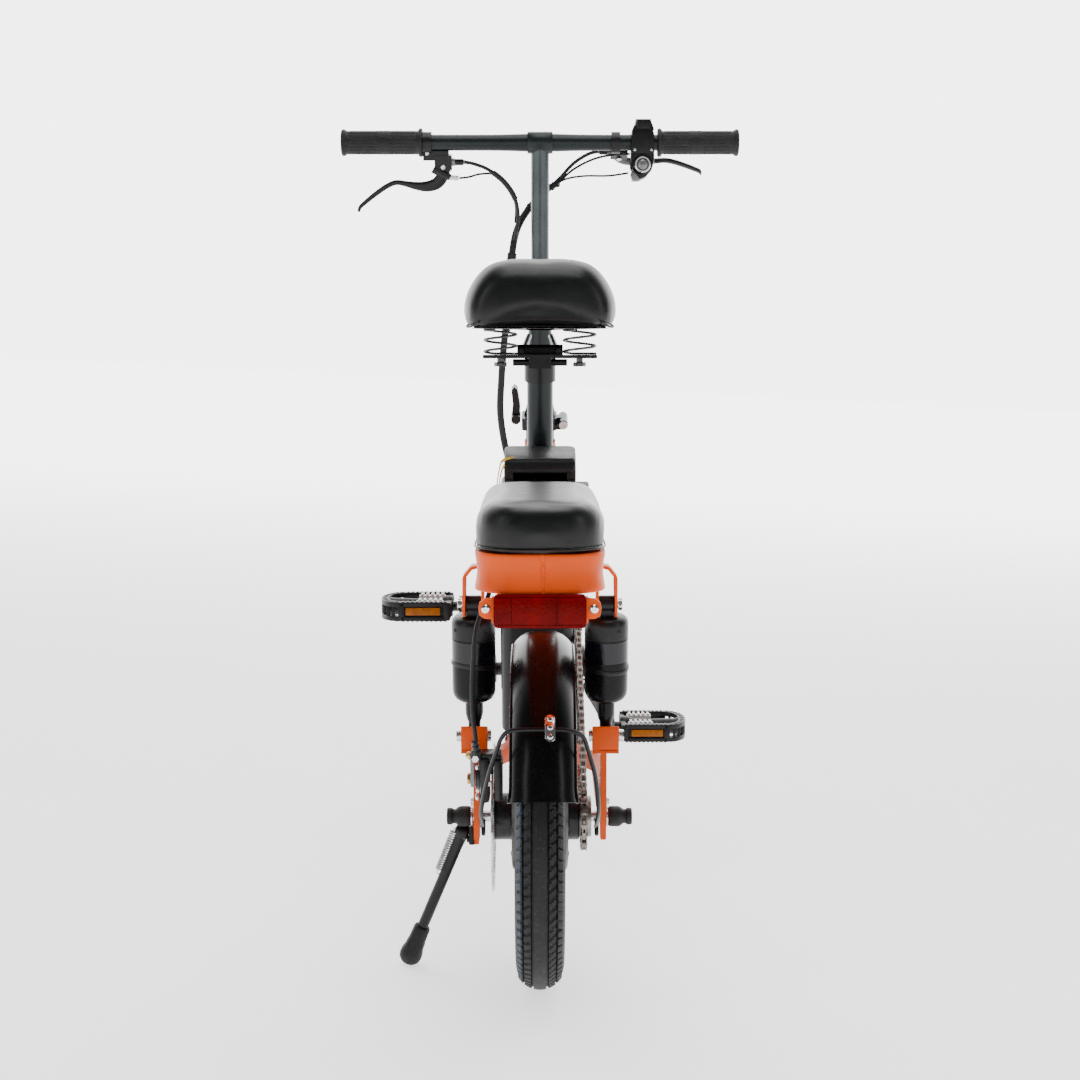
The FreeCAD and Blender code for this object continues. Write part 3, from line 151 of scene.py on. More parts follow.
ORANGE = surface("orange_paint", (0.72, 0.076, 0.001), 0.42, coat=0.02, spread=0.06, grain=420, gleam=0.15,
                 bump=0.06, depth=0.0002)
SLATE = surface("slate_paint", (0.008, 0.012, 0.0135), 0.34, metal=0.1, coat=0.03, spread=0.15, bump=0.06,
                gleam=0.24)
BLACK_GLOSS = surface("black_gloss", (0.003, 0.003, 0.0035), 0.26, coat=0.02, spread=0.2, grain=200,
                      gleam=0.14, bump=0.02, rough_spread=0.04, dust=0.012)
BLACK_SATIN = surface("black_satin", (0.0045, 0.0045, 0.005), 0.38, coat=0.03, spread=0.25, bump=0.10,
                      gleam=0.26)
PLASTIC = surface("moulded_plastic", (0.0055, 0.0055, 0.0062), 0.46, spread=0.25, grain=1600, bump=0.3,
                  cells=True, depth=0.0001, gleam=0.28)
RUBBER = surface("rubber", (0.008, 0.008, 0.009), 0.58, spread=0.3, grain=1100, bump=0.3, dust=0.03,
                 gleam=0.3)
TREAD = surface("tyre_rubber", (0.0062, 0.0065, 0.0075), 0.6, spread=0.35, patch=60, grain=1400, bump=0.4,
                dust=0.05, gleam=0.26)
VINYL = surface("vinyl", (0.0040, 0.0044, 0.0045), 0.36, spread=0.2, patch=14, grain=780, bump=0.22,
                cells=True, depth=0.0002, gleam=0.30)
STEEL = surface("bright_steel", (0.62, 0.62, 0.64), 0.26, metal=1.0, spread=0.08, grain=1500, bump=0.1)
CHROME = surface("chrome", (0.78, 0.78, 0.80), 0.10, metal=1.0, spread=0.04, grain=500, bump=0.03,
                 rough_spread=0.04)
DARK_STEEL = surface("dark_steel", (0.10, 0.10, 0.105), 0.36, metal=0.9, spread=0.25, grain=1200, bump=0.2)
CHAIN_STEEL = surface("chain_steel", (0.24, 0.22, 0.20), 0.35, metal=1.0, spread=0.3, grain=1300, bump=0.2)
BRASS = surface("brass", (0.55, 0.36, 0.12), 0.3, metal=1.0, spread=0.15, grain=1200, bump=0.1)
ALLOY = surface("cast_alloy", (0.012, 0.012, 0.013), 0.38, metal=0.2, spread=0.25, grain=1500, bump=0.2,
                coat=0.08, gleam=0.4)
GREY = surface("grey_alloy", (0.17, 0.17, 0.18), 0.35, metal=0.7, spread=0.15, grain=900, bump=0.15)
AMBER = surface("amber_lens", (0.30, 0.085, 0.002), 0.34, coat=0.02, gleam=0.14, spread=0.2, patch=200,
                grain=520, bump=0.7, cells=True, depth=0.0004)
RED = surface("red_lens", (0.13, 0.0001, 0.0006), 0.30, coat=0.01, gleam=0.06, spread=0.25, patch=60,
              grain=330, bump=0.5, cells=True, depth=0.0005)
WHITE = surface("white_nylon", (0.72, 0.72, 0.70), 0.45, spread=0.06, grain=900, bump=0.15)
YELLOW = surface("yellow_strap", (0.80, 0.50, 0.02), 0.55, spread=0.12, grain=1400, bump=0.4, cells=True)
ANODISED = surface("anodised_tube", (0.052, 0.061, 0.064), 0.30, metal=0.75, spread=0.12, grain=1100,
                   bump=0.06,
                   gleam=0.4)
# Painted highlight: a steel-blue tone laid on the tyres' left shoulder rib, where light from the left falls
# on the rubber.
PAINTED_TYRE_HIGHLIGHT = surface("painted_tyre_highlight", (0.010, 0.030, 0.055), 0.6, spread=0.3, patch=90, grain=1400, bump=0.4)
LABEL = surface("gloss_band", (0.003, 0.0025, 0.005), 0.14, coat=0.1, spread=0.25, grain=200, bump=0.03,
                gleam=0.3)


# ---- mesh building --------------------------------------------------------------------------------


def emit(name, mesh, body, material, replaces=(), crease=38, subdivide=0, place=None):
    """Turn a mesh drawn in millimetres into a finished piece."""
    if place is not None:
        mesh.transform(place)
    mesh.transform(TO_ROW)
    bmesh.ops.recalc_face_normals(mesh, faces=mesh.faces)
    data = bpy.data.meshes.new(name)
    mesh.to_mesh(data)
    mesh.free()
    piece = bpy.data.objects.new(name, data)
    bpy.context.scene.collection.objects.link(piece)
    for item in material if isinstance(material, (list, tuple)) else (material,):
        data.materials.append(item)
    data.shade_smooth()
    data.set_sharp_from_angle(angle=math.radians(crease))
    if subdivide:
        finer = piece.modifiers.new("subdivide", "SUBSURF")
        finer.levels = subdivide
        finer.render_levels = subdivide
    if body:
        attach(piece, body)
    if replaces:
        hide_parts(*replaces)
    return piece


def loft(mesh, rings, closed=False, slot=0):
    """Skin a list of rings of points, with flat ends. Closed joins the last ring to the first instead."""
    made = [[mesh.verts.new(point) for point in ring] for ring in rings]
    count = len(rings[0])
    pairs = list(zip(made, made[1:]))
    if closed:
        pairs.append((made[-1], made[0]))
    for one, other in pairs:
        for i in range(count):
            after = (i + 1) % count
            face = mesh.faces.new((one[i], one[after], other[after], other[i]))
            face.material_index = slot
    if not closed:
        for ring in (made[0], made[-1]):
            face = mesh.faces.new(ring)
            face.material_index = slot
    return made


def across(along):
    """Two unit vectors square to a direction and to each other."""
    along = Vector(along).normalized()
    helper = Vector((0, 0, 1)) if abs(along.z) < 0.9 else Vector((0, 1, 0))
    side = along.cross(helper).normalized()
    return side, along.cross(side)


def lathe(mesh, profile, centre=(0, 0, 0), along=(1, 0, 0), segments=48, wave=None, slot=0, ring=False):
    """Revolve (radius, height) pairs about an axis. wave changes the radius with angle and height.

    A ring's profile goes round a closed loop, which leaves its bore open.
    """
    centre = Vector(centre)
    along = Vector(along).normalized()
    side, up = across(along)
    rings = []
    for radius, height in profile:
        circle = []
        for i in range(segments):
            angle = math.tau * i / segments
            r = radius + (wave(angle, height) if wave else 0)
            circle.append(centre + along * height + (side * math.cos(angle) + up * math.sin(angle)) * r)
        rings.append(circle)
    loft(mesh, rings, closed=ring, slot=slot)


def around(mesh, steps, section):
    """Turn a closed section about the wheel's axle. section(i) gives its (radius, x) pairs."""
    rings = []
    for i in range(steps):
        turn = math.tau * i / steps
        rings.append([(x, r * math.cos(turn), r * math.sin(turn)) for r, x in section(i)])
    loft(mesh, rings, closed=True)


def tube(mesh, points, radius, sides=14):
    """A round tube along points, without twist. The radius may be a function of the share of the way."""
    points = [Vector(p) for p in points]
    last = len(points) - 1
    ahead = (points[1] - points[0]).normalized()
    side, _ = across(ahead)
    rings = []
    for i, point in enumerate(points):
        heading = (points[min(i + 1, last)] - points[max(i - 1, 0)]).normalized()
        side = (side - heading * side.dot(heading)).normalized()
        up = heading.cross(side)
        r = radius(i / last) if callable(radius) else radius
        ring = []
        for k in range(sides):
            angle = math.tau * k / sides
            ring.append(point + (side * math.cos(angle) + up * math.sin(angle)) * r)
        rings.append(ring)
    loft(mesh, rings)


def flowing(points, steps=8):
    """A smooth line through points."""
    points = [Vector(p) for p in points]
    padded = [points[0] * 2 - points[1]] + points + [points[-1] * 2 - points[-2]]
    line = []
    for a, b, c, d in zip(padded, padded[1:], padded[2:], padded[3:]):
        for k in range(steps):
            t = k / steps
            line.append(
                0.5 * ((b * 2) + (c - a) * t + (a * 2 - b * 5 + c * 4 - d) * t * t
                       + (b * 3 - a - c * 3 + d) * t ** 3)
            )
    line.append(points[-1])
    return line


def slab(mesh, one, other, bevel=1.0):
    """A box between two opposite corners with rounded edges."""
    low = Vector(map(min, one, other))
    high = Vector(map(max, one, other))
    size = high - low
    made = bmesh.ops.create_cube(mesh, size=1)["verts"]
    place = Matrix.Translation((low + high) / 2) @ Matrix.Diagonal((*size, 1))
    bmesh.ops.transform(mesh, verts=made, matrix=place)
    edges = list(dict.fromkeys(edge for vert in made for edge in vert.link_edges))
    bmesh.ops.bevel(mesh, geom=edges, offset=min(bevel, min(size) * 0.45), segments=2, affect="EDGES",
                    profile=0.6)


def board(mesh, outline, low, high, axis="X", bevel=0.8):
    """An outline of two coordinates, given thickness along an axis, with its rims rounded."""
    order = {"X": lambda u, v, w: (w, u, v), "Y": lambda u, v, w: (u, w, v), "Z": lambda u, v, w: (u, v, w)}
    put = order[axis]
    one = [mesh.verts.new(put(u, v, low)) for u, v in outline]
    other = [mesh.verts.new(put(u, v, high)) for u, v in outline]
    faces = [mesh.faces.new(one), mesh.faces.new(other)]
    rims = [edge for face in faces for edge in face.edges]
    count = len(outline)
    for i in range(count):
        after = (i + 1) % count
        mesh.faces.new((one[i], one[after], other[after], other[i]))
    if bevel:
        bmesh.ops.bevel(mesh, geom=rims, offset=bevel, segments=2, affect="EDGES", profile=0.6)


def screw(mesh, at, along, radius, height):
    """A domed screw head with a hex recess."""
    lathe(mesh, ((0.01, height * 0.45), (radius * 0.42, height * 0.45), (radius * 0.46, height),
                 (radius * 0.8, height * 0.92), (radius, height * 0.55), (radius, 0), (0.01, 0)),
          at, along, 18)


def nut(mesh, at, along, radius, height):
    """A hexagonal nut."""
    profile = ((0.01, 0), (radius * 0.93, 0), (radius, height * 0.12), (radius, height * 0.88),
               (radius * 0.9, height), (0.01, height))
    lathe(mesh, profile, at, along, 6)


# ---- wheels ---------------------------------------------------------------------------------------


def tread_depth(across_mm, along_mm):
    """How far the tyre's surface is cut in at a distance from the centre line and round the tyre."""
    s = abs(across_mm)
    pitch = 11.9
    if 6.8 < s < 9.2 or 17.4 < s < 19.6:
        return 2.4
    if 9.2 <= s <= 17.4:
        lag = (along_mm + 0.75 * s * (1 if across_mm > 0 else -1)) % pitch
        return 1.9 if lag < 1.9 else 0.0
    if 19.6 <= s <= 30:
        lag = (along_mm + 5 - 0.55 * (s - 19.6)) % pitch
        if lag < 2.3:
            return 2.2
        return 0.0 if s < 28.2 else 0.9
    if s > 30:
        return 1.5 + (0.5 if 38 < s < 40 else 0)
    return 0.0


def tyre(name, body, centre_y, node):
    """A tyre with its tread cut in, and the band along each bead."""
    mesh = bmesh.new()
    ring = WHEEL_Z - TYRE_SECTION
    steps = 760
    cuts = [0, 3, 6.6, 7.0, 9.0, 9.4, 12, 14.6, 17.2, 17.6, 19.4, 19.8, 22, 24.5, 27.6, 28.6, 30.4, 34,
            37.8, 38.6, 39.6, 40.4, 46, 53, 60]
    offsets = [-c for c in reversed(cuts[1:])] + cuts
    bead = [(139.5, x) for x in (17.5, 0, -17.5)]

    def section(i):
        points = []
        for offset in offsets:
            angle = offset / TYRE_SECTION
            reach = TYRE_SECTION - tread_depth(offset, WHEEL_Z * (math.tau * i / steps))
            points.append((ring + reach * math.cos(angle), reach * math.sin(angle)))
        return points + bead

    around(mesh, steps, section)
    mesh.faces.ensure_lookup_table()
    for index, face in enumerate(mesh.faces):
        column = index % (len(offsets) + len(bead))
        if column < len(offsets) - 1:
            middle = (offsets[column] + offsets[column + 1]) / 2
            # Faces on the left shoulder take the painted highlight colour.
            if -27.6 < middle < -21.5:
                face.material_index = 1
    place = Matrix.Translation((0, centre_y, WHEEL_Z))
    emit(name, mesh, body, (TREAD, PAINTED_TYRE_HIGHLIGHT), (node,), crease=30, place=place)


def wheel_rim(name, body, centre_y, node, hub, hub_half, spokes, bore):
    """A cast wheel with an I-section spoke pattern."""
    mesh = bmesh.new()
    deep = 117.7
    profile = ((deep, -14), (deep - 1.5, 0), (deep, 14), (130.7, 23.2), (137.6, 24), (138.9, 23.2),
               (138.6, 21), (135.5, 15), (128.7, 12), (128.7, -12), (135.5, -15), (138.6, -21),
               (138.9, -23.2), (137.6, -24), (130.7, -23.2))
    around(mesh, 144, lambda i: profile)
    middle = [(bore, -hub_half), (hub + 4, -hub_half), (hub + 6, 2 - hub_half), (hub + 6, hub_half - 2),
              (hub + 4, hub_half), (bore, hub_half)]
    around(mesh, 96, lambda i: middle)
    for i in range(spokes):
        turn = Matrix.Rotation(math.tau * i / spokes, 4, "X")
        start = hub + 4
        end = deep + 2
        shape = []
        for t in range(9):
            share = t / 8
            z = start + (end - start) * share
            wide = 7.2 + 7 * (share - 0.5) ** 2 * 4 * (0.55 if share < 0.5 else 1.0)
            thick = 7 - 1.6 * math.sin(math.pi * share)
            web = thick * 0.45
            shape.append([
                turn @ Vector(p) for p in (
                    (-thick, -wide, z), (-thick, -wide * 0.62, z), (-web, -wide * 0.45, z),
                    (-web, wide * 0.45, z), (-thick, wide * 0.62, z), (-thick, wide, z),
                    (thick, wide, z), (thick, wide * 0.62, z), (web, wide * 0.45, z),
                    (web, -wide * 0.45, z), (thick, -wide * 0.62, z), (thick, -wide, z),
                )
            ])
        loft(mesh, shape)
    emit(name, mesh, body, ALLOY, (node,), place=Matrix.Translation((0, centre_y, WHEEL_Z)))
    valve = bmesh.new()
    lathe(valve, ((0.01, 0), (3.4, 0), (3, 10), (2.6, 11), (2.6, 19), (3.1, 19), (3.1, 25), (0.01, 26)),
          (0, centre_y + 60, WHEEL_Z + 101), (0, -0.51, -0.86), 14)
    emit(name + "_valve", valve, body, RUBBER)


def fender(name, body, centre_y, shift, start, sweep, node):
    """A crowned guard with rolled rims and a moulded lip at its rear end."""
    mesh = bmesh.new()
    steps = 72
    stations = []
    for i in range(steps + 1):
        share = i / steps
        near_end = max(0.0, 1 - (1 - share) * sweep / 3.6)
        half = 33.5 * (1 - 0.35 * max(0.0, 1 - share * sweep / 7) ** 2)
        stations.append((math.radians(start + sweep * share), near_end, half))
    rings = []
    for turn, near_end, half in stations:
        flare = 1.3 * near_end ** 0.5 + (0.8 if near_end > 0.55 else 0)
        outer, inner = [], []
        for k in range(25):
            u = -1 + 2 * k / 24
            fall = 16.5 * abs(u) ** 2.7
            x = half * (u - 0.045 * u ** 9) + shift + flare * u
            r = 201 - fall + flare
            outer.append((x, r))
            inner.append((x - 1.8 * u ** 3, r - 1.8 - (0.6 if abs(u) < 0.9 else 0)))
        points = outer + list(reversed(inner))
        rings.append([(x, r * math.cos(turn), r * math.sin(turn)) for x, r in points])
    loft(mesh, rings)
    for side in SIDES:
        line = []
        for turn, near_end, half in stations:
            flare = 1.6 * near_end ** 0.5
            r = 184.6 + flare
            line.append((side * (half * 0.955 + flare) + shift, r * math.cos(turn), r * math.sin(turn)))
        tube(mesh, line, 1.7, 8)
    emit(name, mesh, body, BLACK_GLOSS, (node,), crease=50,
         place=Matrix.Translation((0, centre_y, WHEEL_Z)))


def fender_stay():
    """The wire stay over the rear fender, its chromed clip and the fender's rivets."""
    wire = bmesh.new()
    route = ((-62, -6, 172), (-61, -60, 193), (-60, -100, 216), (-52, -132, 258), (-43, -148, 288),
             (-38, -156, 303), (-30, -160.5, 311), (-12, -163, 313), (10, -163.4, 313), (28, -162.5, 312),
             (42, -157, 305), (48, -148, 288), (56, -130, 256), (60, -100, 216), (60, -60, 193),
             (60, -6, 172))
    tube(wire, flowing(route, 6), 2.25, 12)
    for x in (-64, 58):
        ring = [Vector((x + 3, -4 + 6.5 * math.cos(a), 170 + 6.5 * math.sin(a)))
                for a in (math.tau * k / 20 for k in range(21))]
        tube(wire, ring, 2.2, 10)
    emit("fender_stay", wire, "swingarm", BLACK_SATIN)
    clip = bmesh.new()
    slope = Matrix.Translation((10, -165.2, 314.6)) @ Matrix.Rotation(math.radians(-39), 4, "X")
    outline = []
    for k in range(24):
        a = math.tau * k / 24
        outline.append((5.2 * math.cos(a), 5.2 * math.sin(a) + (9.5 if math.sin(a) >= 0 else -9.5)))
    board(clip, outline, -1.2, 0.8, "Y", 0.6)
    for z in (-9.5, 0.5, 9.5):
        screw(clip, (0, -1.0, z), (0, -1, 0), 3.0, 2.2)
    emit("fender_clip", clip, "swingarm", CHROME, place=slope)


def rotor(name, body, centre_y, x, node):
    """A vented brake disc with its bolts."""
    mesh = bmesh.new()
    steps = 180
    waves = 15
    thick = 2

    def braking_band(i):
        swing = math.cos(math.tau * i / steps * waves)
        outer = 80 - 1.6 * (0.5 + 0.5 * swing)
        inner = 60 + 1.6 * swing
        return ((outer, x), (outer, x + thick), (inner, x + thick), (inner, x))

    around(mesh, steps, braking_band)
    around(mesh, 72, lambda i: ((17, x), (17, x + thick), (30, x + thick), (30, x)))
    for i in range(6):
        lean = math.tau * i / 6
        arms = []
        for t in range(7):
            r = 28 + 34 * t / 6
            a = lean + 0.38 * t / 6
            wide = 4.2 - 1.2 * math.sin(math.pi * t / 6)
            side = wide / r
            arms.append([(x + dx, r * math.cos(a + da), r * math.sin(a + da))
                         for dx, da in ((0.1, -side), (1.9, -side), (1.9, side), (0.1, side))])
        loft(mesh, arms)
    bolts = bmesh.new()
    for i in range(6):
        a = math.tau * (i + 0.5) / 6
        screw(bolts, (x, 23.5 * math.cos(a), 23.5 * math.sin(a)), (-1, 0, 0), 3.6, 1.9)
    place = Matrix.Translation((0, centre_y, WHEEL_Z))
    emit(name, mesh, body, STEEL, (node,), place=place)
    emit(name + "_bolts", bolts, body, DARK_STEEL, place=place)


# ---- padded pieces --------------------------------------------------------------------------------


def rounded_outline(half, rear, front, rear_radius, front_radius, inset, count=14):
    """A rectangle with round corners, drawn inwards by an inset."""
    points = []
    corners = (
        (half, front, front_radius, 0), (-half, front, front_radius, 90),
        (-half, rear, rear_radius, 180), (half, rear, rear_radius, 270),
    )
    for x, y, radius, first in corners:
        cx = x - math.copysign(radius, x)
        cy = y - radius if y == front else y + radius
        for k in range(count):
            a = math.radians(first + 90 * k / (count - 1))
            r = max(radius - inset, 0.5)
            points.append((cx + r * math.cos(a), cy + r * math.sin(a)))
    return points


def padded_by_cloth(piece, cap):
    """Swell a closed piece with the cloth solver, and keep every point near where it started."""
    bpy.context.view_layer.update()
    scene = bpy.context.scene
    twin = piece.copy()
    twin.data = piece.data.copy()
    twin.parent = None
    scene.collection.objects.link(twin)
    twin.modifiers.clear()
    remesh = twin.modifiers.new("voxels", "REMESH")
    remesh.mode = "VOXEL"
    remesh.voxel_size = 0.0045
    bpy.context.view_layer.objects.active = twin
    for other in bpy.context.selected_objects:
        other.select_set(False)
    twin.select_set(True)
    bpy.ops.object.modifier_apply(modifier="voxels")
    start = [v.co.copy() for v in twin.data.vertices]
    cloth = twin.modifiers.new("cloth", "CLOTH")
    cloth.settings.quality = 4
    cloth.settings.use_pressure = True
    cloth.settings.uniform_pressure_force = 3.0
    cloth.settings.effector_weights.gravity = 0
    cloth.settings.tension_stiffness = 25
    cloth.settings.bending_stiffness = 2
    cloth.point_cache.frame_start = 1
    cloth.point_cache.frame_end = 16
    for step in range(1, 16):
        scene.frame_set(step)
    bpy.ops.object.modifier_apply(modifier="cloth")
    scene.frame_set(1)
    low = min(p.z for p in start)
    for vert, at in zip(twin.data.vertices, start):
        move = vert.co - at
        free = min(1.0, max(0.0, (at.z - low - 0.004) / 0.012))
        limit = cap * free
        if move.length > limit:
            move = move.normalized() * limit
        vert.co = at + move
    smooth = twin.modifiers.new("smooth", "SMOOTH")
    smooth.factor = 0.5
    smooth.iterations = 4
    bpy.ops.object.modifier_apply(modifier="smooth")
    old = piece.data
    piece.data = twin.data
    piece.modifiers.clear()
    bpy.data.objects.remove(twin)
    bpy.data.meshes.remove(old)
    piece.data.shade_smooth()
    finer = piece.modifiers.new("subdivide", "SUBSURF")
    finer.levels = 1
    finer.render_levels = 1


def pillion_pad():
    """The passenger's cushion, drawn level by level as its crown pulls in, and the piping at its foot."""
    half, rear, front, base = 62.5, -205, 95, 490.6
    levels = ((6, 0), (1.5, 0), (0.6, 3), (0.2, 10), (0.0, 20), (0.8, 29), (3.2, 36), (7.5, 41.5),
              (13.5, 44.6), (21, 46), (32, 47))
    mesh = bmesh.new()
    rings = []
    for inset, z in levels:
        if inset > 13:
            outline = rounded_outline(half - inset, rear + inset, front - inset, 30, 18, 0)
        else:
            outline = rounded_outline(half, rear, front, 44, 30, inset)
        rings.append([(x, y, base + z) for x, y in outline])
    loft(mesh, rings)
    pad = emit("pillion_pad_cover", mesh, None, VINYL, ("pillion_pad",), crease=180)
    padded_by_cloth(pad, 0.0022)
    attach(pad, "root")
    seam = bmesh.new()
    out = 0.8
    outline = rounded_outline(half + out, rear - out, front + out, 44 + out, 30 + out, 0)
    line = [(x, y, base + 4.2) for x, y in outline]
    tube(seam, line + [line[0]], 1.0, 8)
    emit("pillion_pad_piping", seam, "root", VINYL)


SADDLE_REAR, SADDLE_NOSE = 165, 425
SADDLE_HALF_WIDTHS = (
    (SADDLE_REAR, 58), (170, 78), (180, 87), (200, 93.5), (220, 95), (240, 92.5), (257, 87), (275, 77),
    (292, 64), (310, 51.5), (330, 41), (350, 34), (372, 29.5), (395, 26), (410, 23), (420, 18),
    (SADDLE_NOSE, 9),
)
SADDLE_SECTION = (
    (0, 0.0), (0.60, 0.0), (0.80, 0.005), (0.885, 0.035), (0.95, 0.12), (0.985, 0.27), (1.0, 0.44),
    (0.985, 0.60), (0.94, 0.75), (0.865, 0.87), (0.75, 0.945), (0.58, 0.98), (0.35, 1.0), (0.12, 0.992),
    (0, 0.985),
)


def saddle_arch(x, y):
    """How far the saddle's lower rim drops towards its rear corners."""
    rear = max(0.0, min(1.0, (245 - y) / 70))
    return rear * (1 - 8 * min(1.0, abs(x) / 88) ** 2)


def saddle_heights(y):
    """The saddle's underside and crown at a distance along it. Both ends round off."""
    back = max(0.0, 1 - (y - SADDLE_REAR) / 30) ** 2
    tip = max(0.0, 1 - (SADDLE_NOSE - y) / 24) ** 2
    low = 710 + 7 * back + 16 * tip
    swell = 8 * math.exp(-((y - 200) / 45) ** 2)
    waist = 7 * math.sin(math.pi * min(1, max(0, (y - 250) / 150)))
    return low, 780 + swell - 25 * back - 26 * tip - waist


def saddle():
    """The sprung saddle's cushion, the piping along its sides and the moulded base under it."""
    mesh = bmesh.new()
    rings = []
    for y, half in SADDLE_HALF_WIDTHS:
        low, high = saddle_heights(y)
        ring = []
        for side, line in ((1, SADDLE_SECTION), (-1, tuple(reversed(SADDLE_SECTION)))):
            for u, v in line[:-1]:
                squash = 1 - (0.24 * v ** 1.6 if y < 300 else 0.05 * v)
                arch = saddle_arch(u * half, y) * (1 - v)
                ring.append((side * half * u * squash, y, low + arch + (high - low) * v))
        rings.append(ring)
    loft(mesh, rings)
    cover = emit("saddle_cover", mesh, None, VINYL, ("saddle_cushion",), crease=180, subdivide=2)
    bpy.context.view_layer.objects.active = cover
    cover.select_set(True)
    bpy.ops.object.modifier_apply(modifier="subdivide")
    padded_by_cloth(cover, 0.0025)
    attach(cover, "saddle")
    seam = bmesh.new()
    for side in SIDES:
        line = []
        for y, half in SADDLE_HALF_WIDTHS[1:-1]:
            low, _ = saddle_heights(y)
            line.append((side * half * 0.90, y, low + 3.2 + saddle_arch(half * 0.9, y)))
        tube(seam, flowing(line, 4), 1.3, 8)
    emit("saddle_piping", seam, "saddle", RUBBER)
    base = bmesh.new()
    rings = []
    for z, share in ((709.2, 0.80), (706.5, 0.84), (706.5, 0.78), (708.6, 0.72)):
        outline = [(half * share, y) for y, half in SADDLE_HALF_WIDTHS[2:-2]]
        outline += [(-x, y) for x, y in reversed(outline)]
        rings.append([(x, y, z + 1 + max(0, saddle_arch(x, y))) for x, y in outline])
    loft(base, rings)
    for side in SIDES:
        for y in (230, 262, 300):
            screw(base, (side * 40, y, 707), (0, 0, -1), 4, 2.4)
    emit("saddle_base", base, "saddle", PLASTIC, crease=40)


def coil(turns, radius, height, wire):
    """The line of a spring, wider at the middle, with flat end turns."""
    line = []
    count = int(turns * 26)
    for i in range(count + 1):
        share = i / count
        a = math.tau * turns * share
        ease = min(1, max(0, (share - 0.12) / 0.76))
        line.append(Vector((radius * math.cos(a), radius * math.sin(a), wire + ease * (height - 2 * wire))))
    return line


def saddle_springs():
    """The two coil springs under the saddle, and the studs below them."""
    for side, name in ((-1, "spring_left"), (1, "spring_right")):
        mesh = bmesh.new()
        start = Vector((side * 46, 199, 677))
        tube(mesh, [start + p for p in coil(2.7, 18.5, 30, 1.5)], 1.5, 10)
        piece = emit(name, mesh, None, DARK_STEEL, ("saddle_springs",))
        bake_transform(piece)
        studs = bmesh.new()
        lathe(studs, ((0.01, 0), (7, 0), (7, 2), (4, 3), (4, 9), (0.01, 9)), start + Vector((0, 0, -12)),
              (0, 0, 1), 16)
        nut(studs, start + Vector((0, 0, -8.5)), (0, 0, -1), 7.5, 5)
        emit(name + "_stud", studs, "seat", DARK_STEEL)


# ---- rack, reflector and shocks -------------------------------------------------------------------


RACK_REAR = -200
RACK_TUBE = Vector((0, 322.4, 478.3))


def rack_path(inset):
    """The rack band's outer line, from its right front end round the back to its left front end."""
    half = 63.5 - inset
    radius = 42 - inset
    rear = RACK_REAR + inset
    line = [(half, y) for y in (330, 250, 170, 90, 10, -70, -130)]
    for k in range(17):
        a = math.radians(90 * k / 16)
        line.append((half - radius + radius * math.cos(a), rear + radius - radius * math.sin(a)))
    line += [(12, rear), (0, rear)]
    return line + [(-x, y) for x, y in reversed(line[:-1])]


def rack():
    """The band with its hollowed side, the deck, the cross tube and the bridge over the fender."""
    mesh = bmesh.new()
    section = ((0.8, 452), (0.1, 452.8), (0.0, 455), (0.9, 460), (1.9, 466), (2.2, 471), (1.9, 476),
               (0.9, 482), (0.0, 487), (0.1, 489.2), (0.8, 490), (4.6, 490), (5.4, 489), (5.4, 453),
               (4.6, 452))
    columns = [[(x, y, z) for x, y in rack_path(inset)] for inset, z in section]
    rings = [[column[i] for column in columns] for i in range(len(columns[0]))]
    loft(mesh, rings)
    deck = [(x, y) for x, y in rack_path(4.5) if y < 131]
    deck = [(deck[0][0], 130)] + deck + [(deck[-1][0], 130)]
    board(mesh, deck, 484, 489, "Z", 0.8)
    tube(mesh, [RACK_TUBE + Vector((x, 0, 0)) for x in (-62, 0, 62)], 9, 28)
    slab(mesh, (-25, 60, 396), (20, 65, 487), 1.5)
    for side in SIDES:
        for y in (-90, 20, 110):
            lathe(mesh, ((0.01, 0), (3.4, 0), (3.0, 1.6), (1.6, 2.3), (0.01, 2.3)),
                  (side * 61.4, y, 471), (side, 0, 0), 14)
    emit("rack_band", mesh, "root", ORANGE, ("rear_rack",), crease=42)
    weld = bmesh.new()
    draw = random.Random(7)
    for k in range(17):
        z = 453.5 + k * 2.2
        inset = 2.2 * math.sin(math.pi * (z - 452) / 38)
        wide = 1.5 + draw.random() * 1.2
        lathe(weld, ((0.01, 1.3), (wide * 0.6, 1.1), (wide, 0.3), (wide, -0.8), (0.01, -0.8)),
              (3 + draw.uniform(-0.5, 0.5), RACK_REAR + inset, z), (0, -1, 0.2), 10)
    for side in SIDES:
        for k in range(14):
            a = math.tau * k / 14
            at = RACK_TUBE + Vector((side * 58.6, 9.2 * math.cos(a), 9.2 * math.sin(a)))
            lathe(weld, ((0.01, 1.0), (1.4, 0.8), (2.2, 0), (2.2, -0.8), (0.01, -0.8)), at,
                  (-side, 0.3, 0.2), 8)
    emit("rack_welds", weld, "root", ORANGE, crease=70)


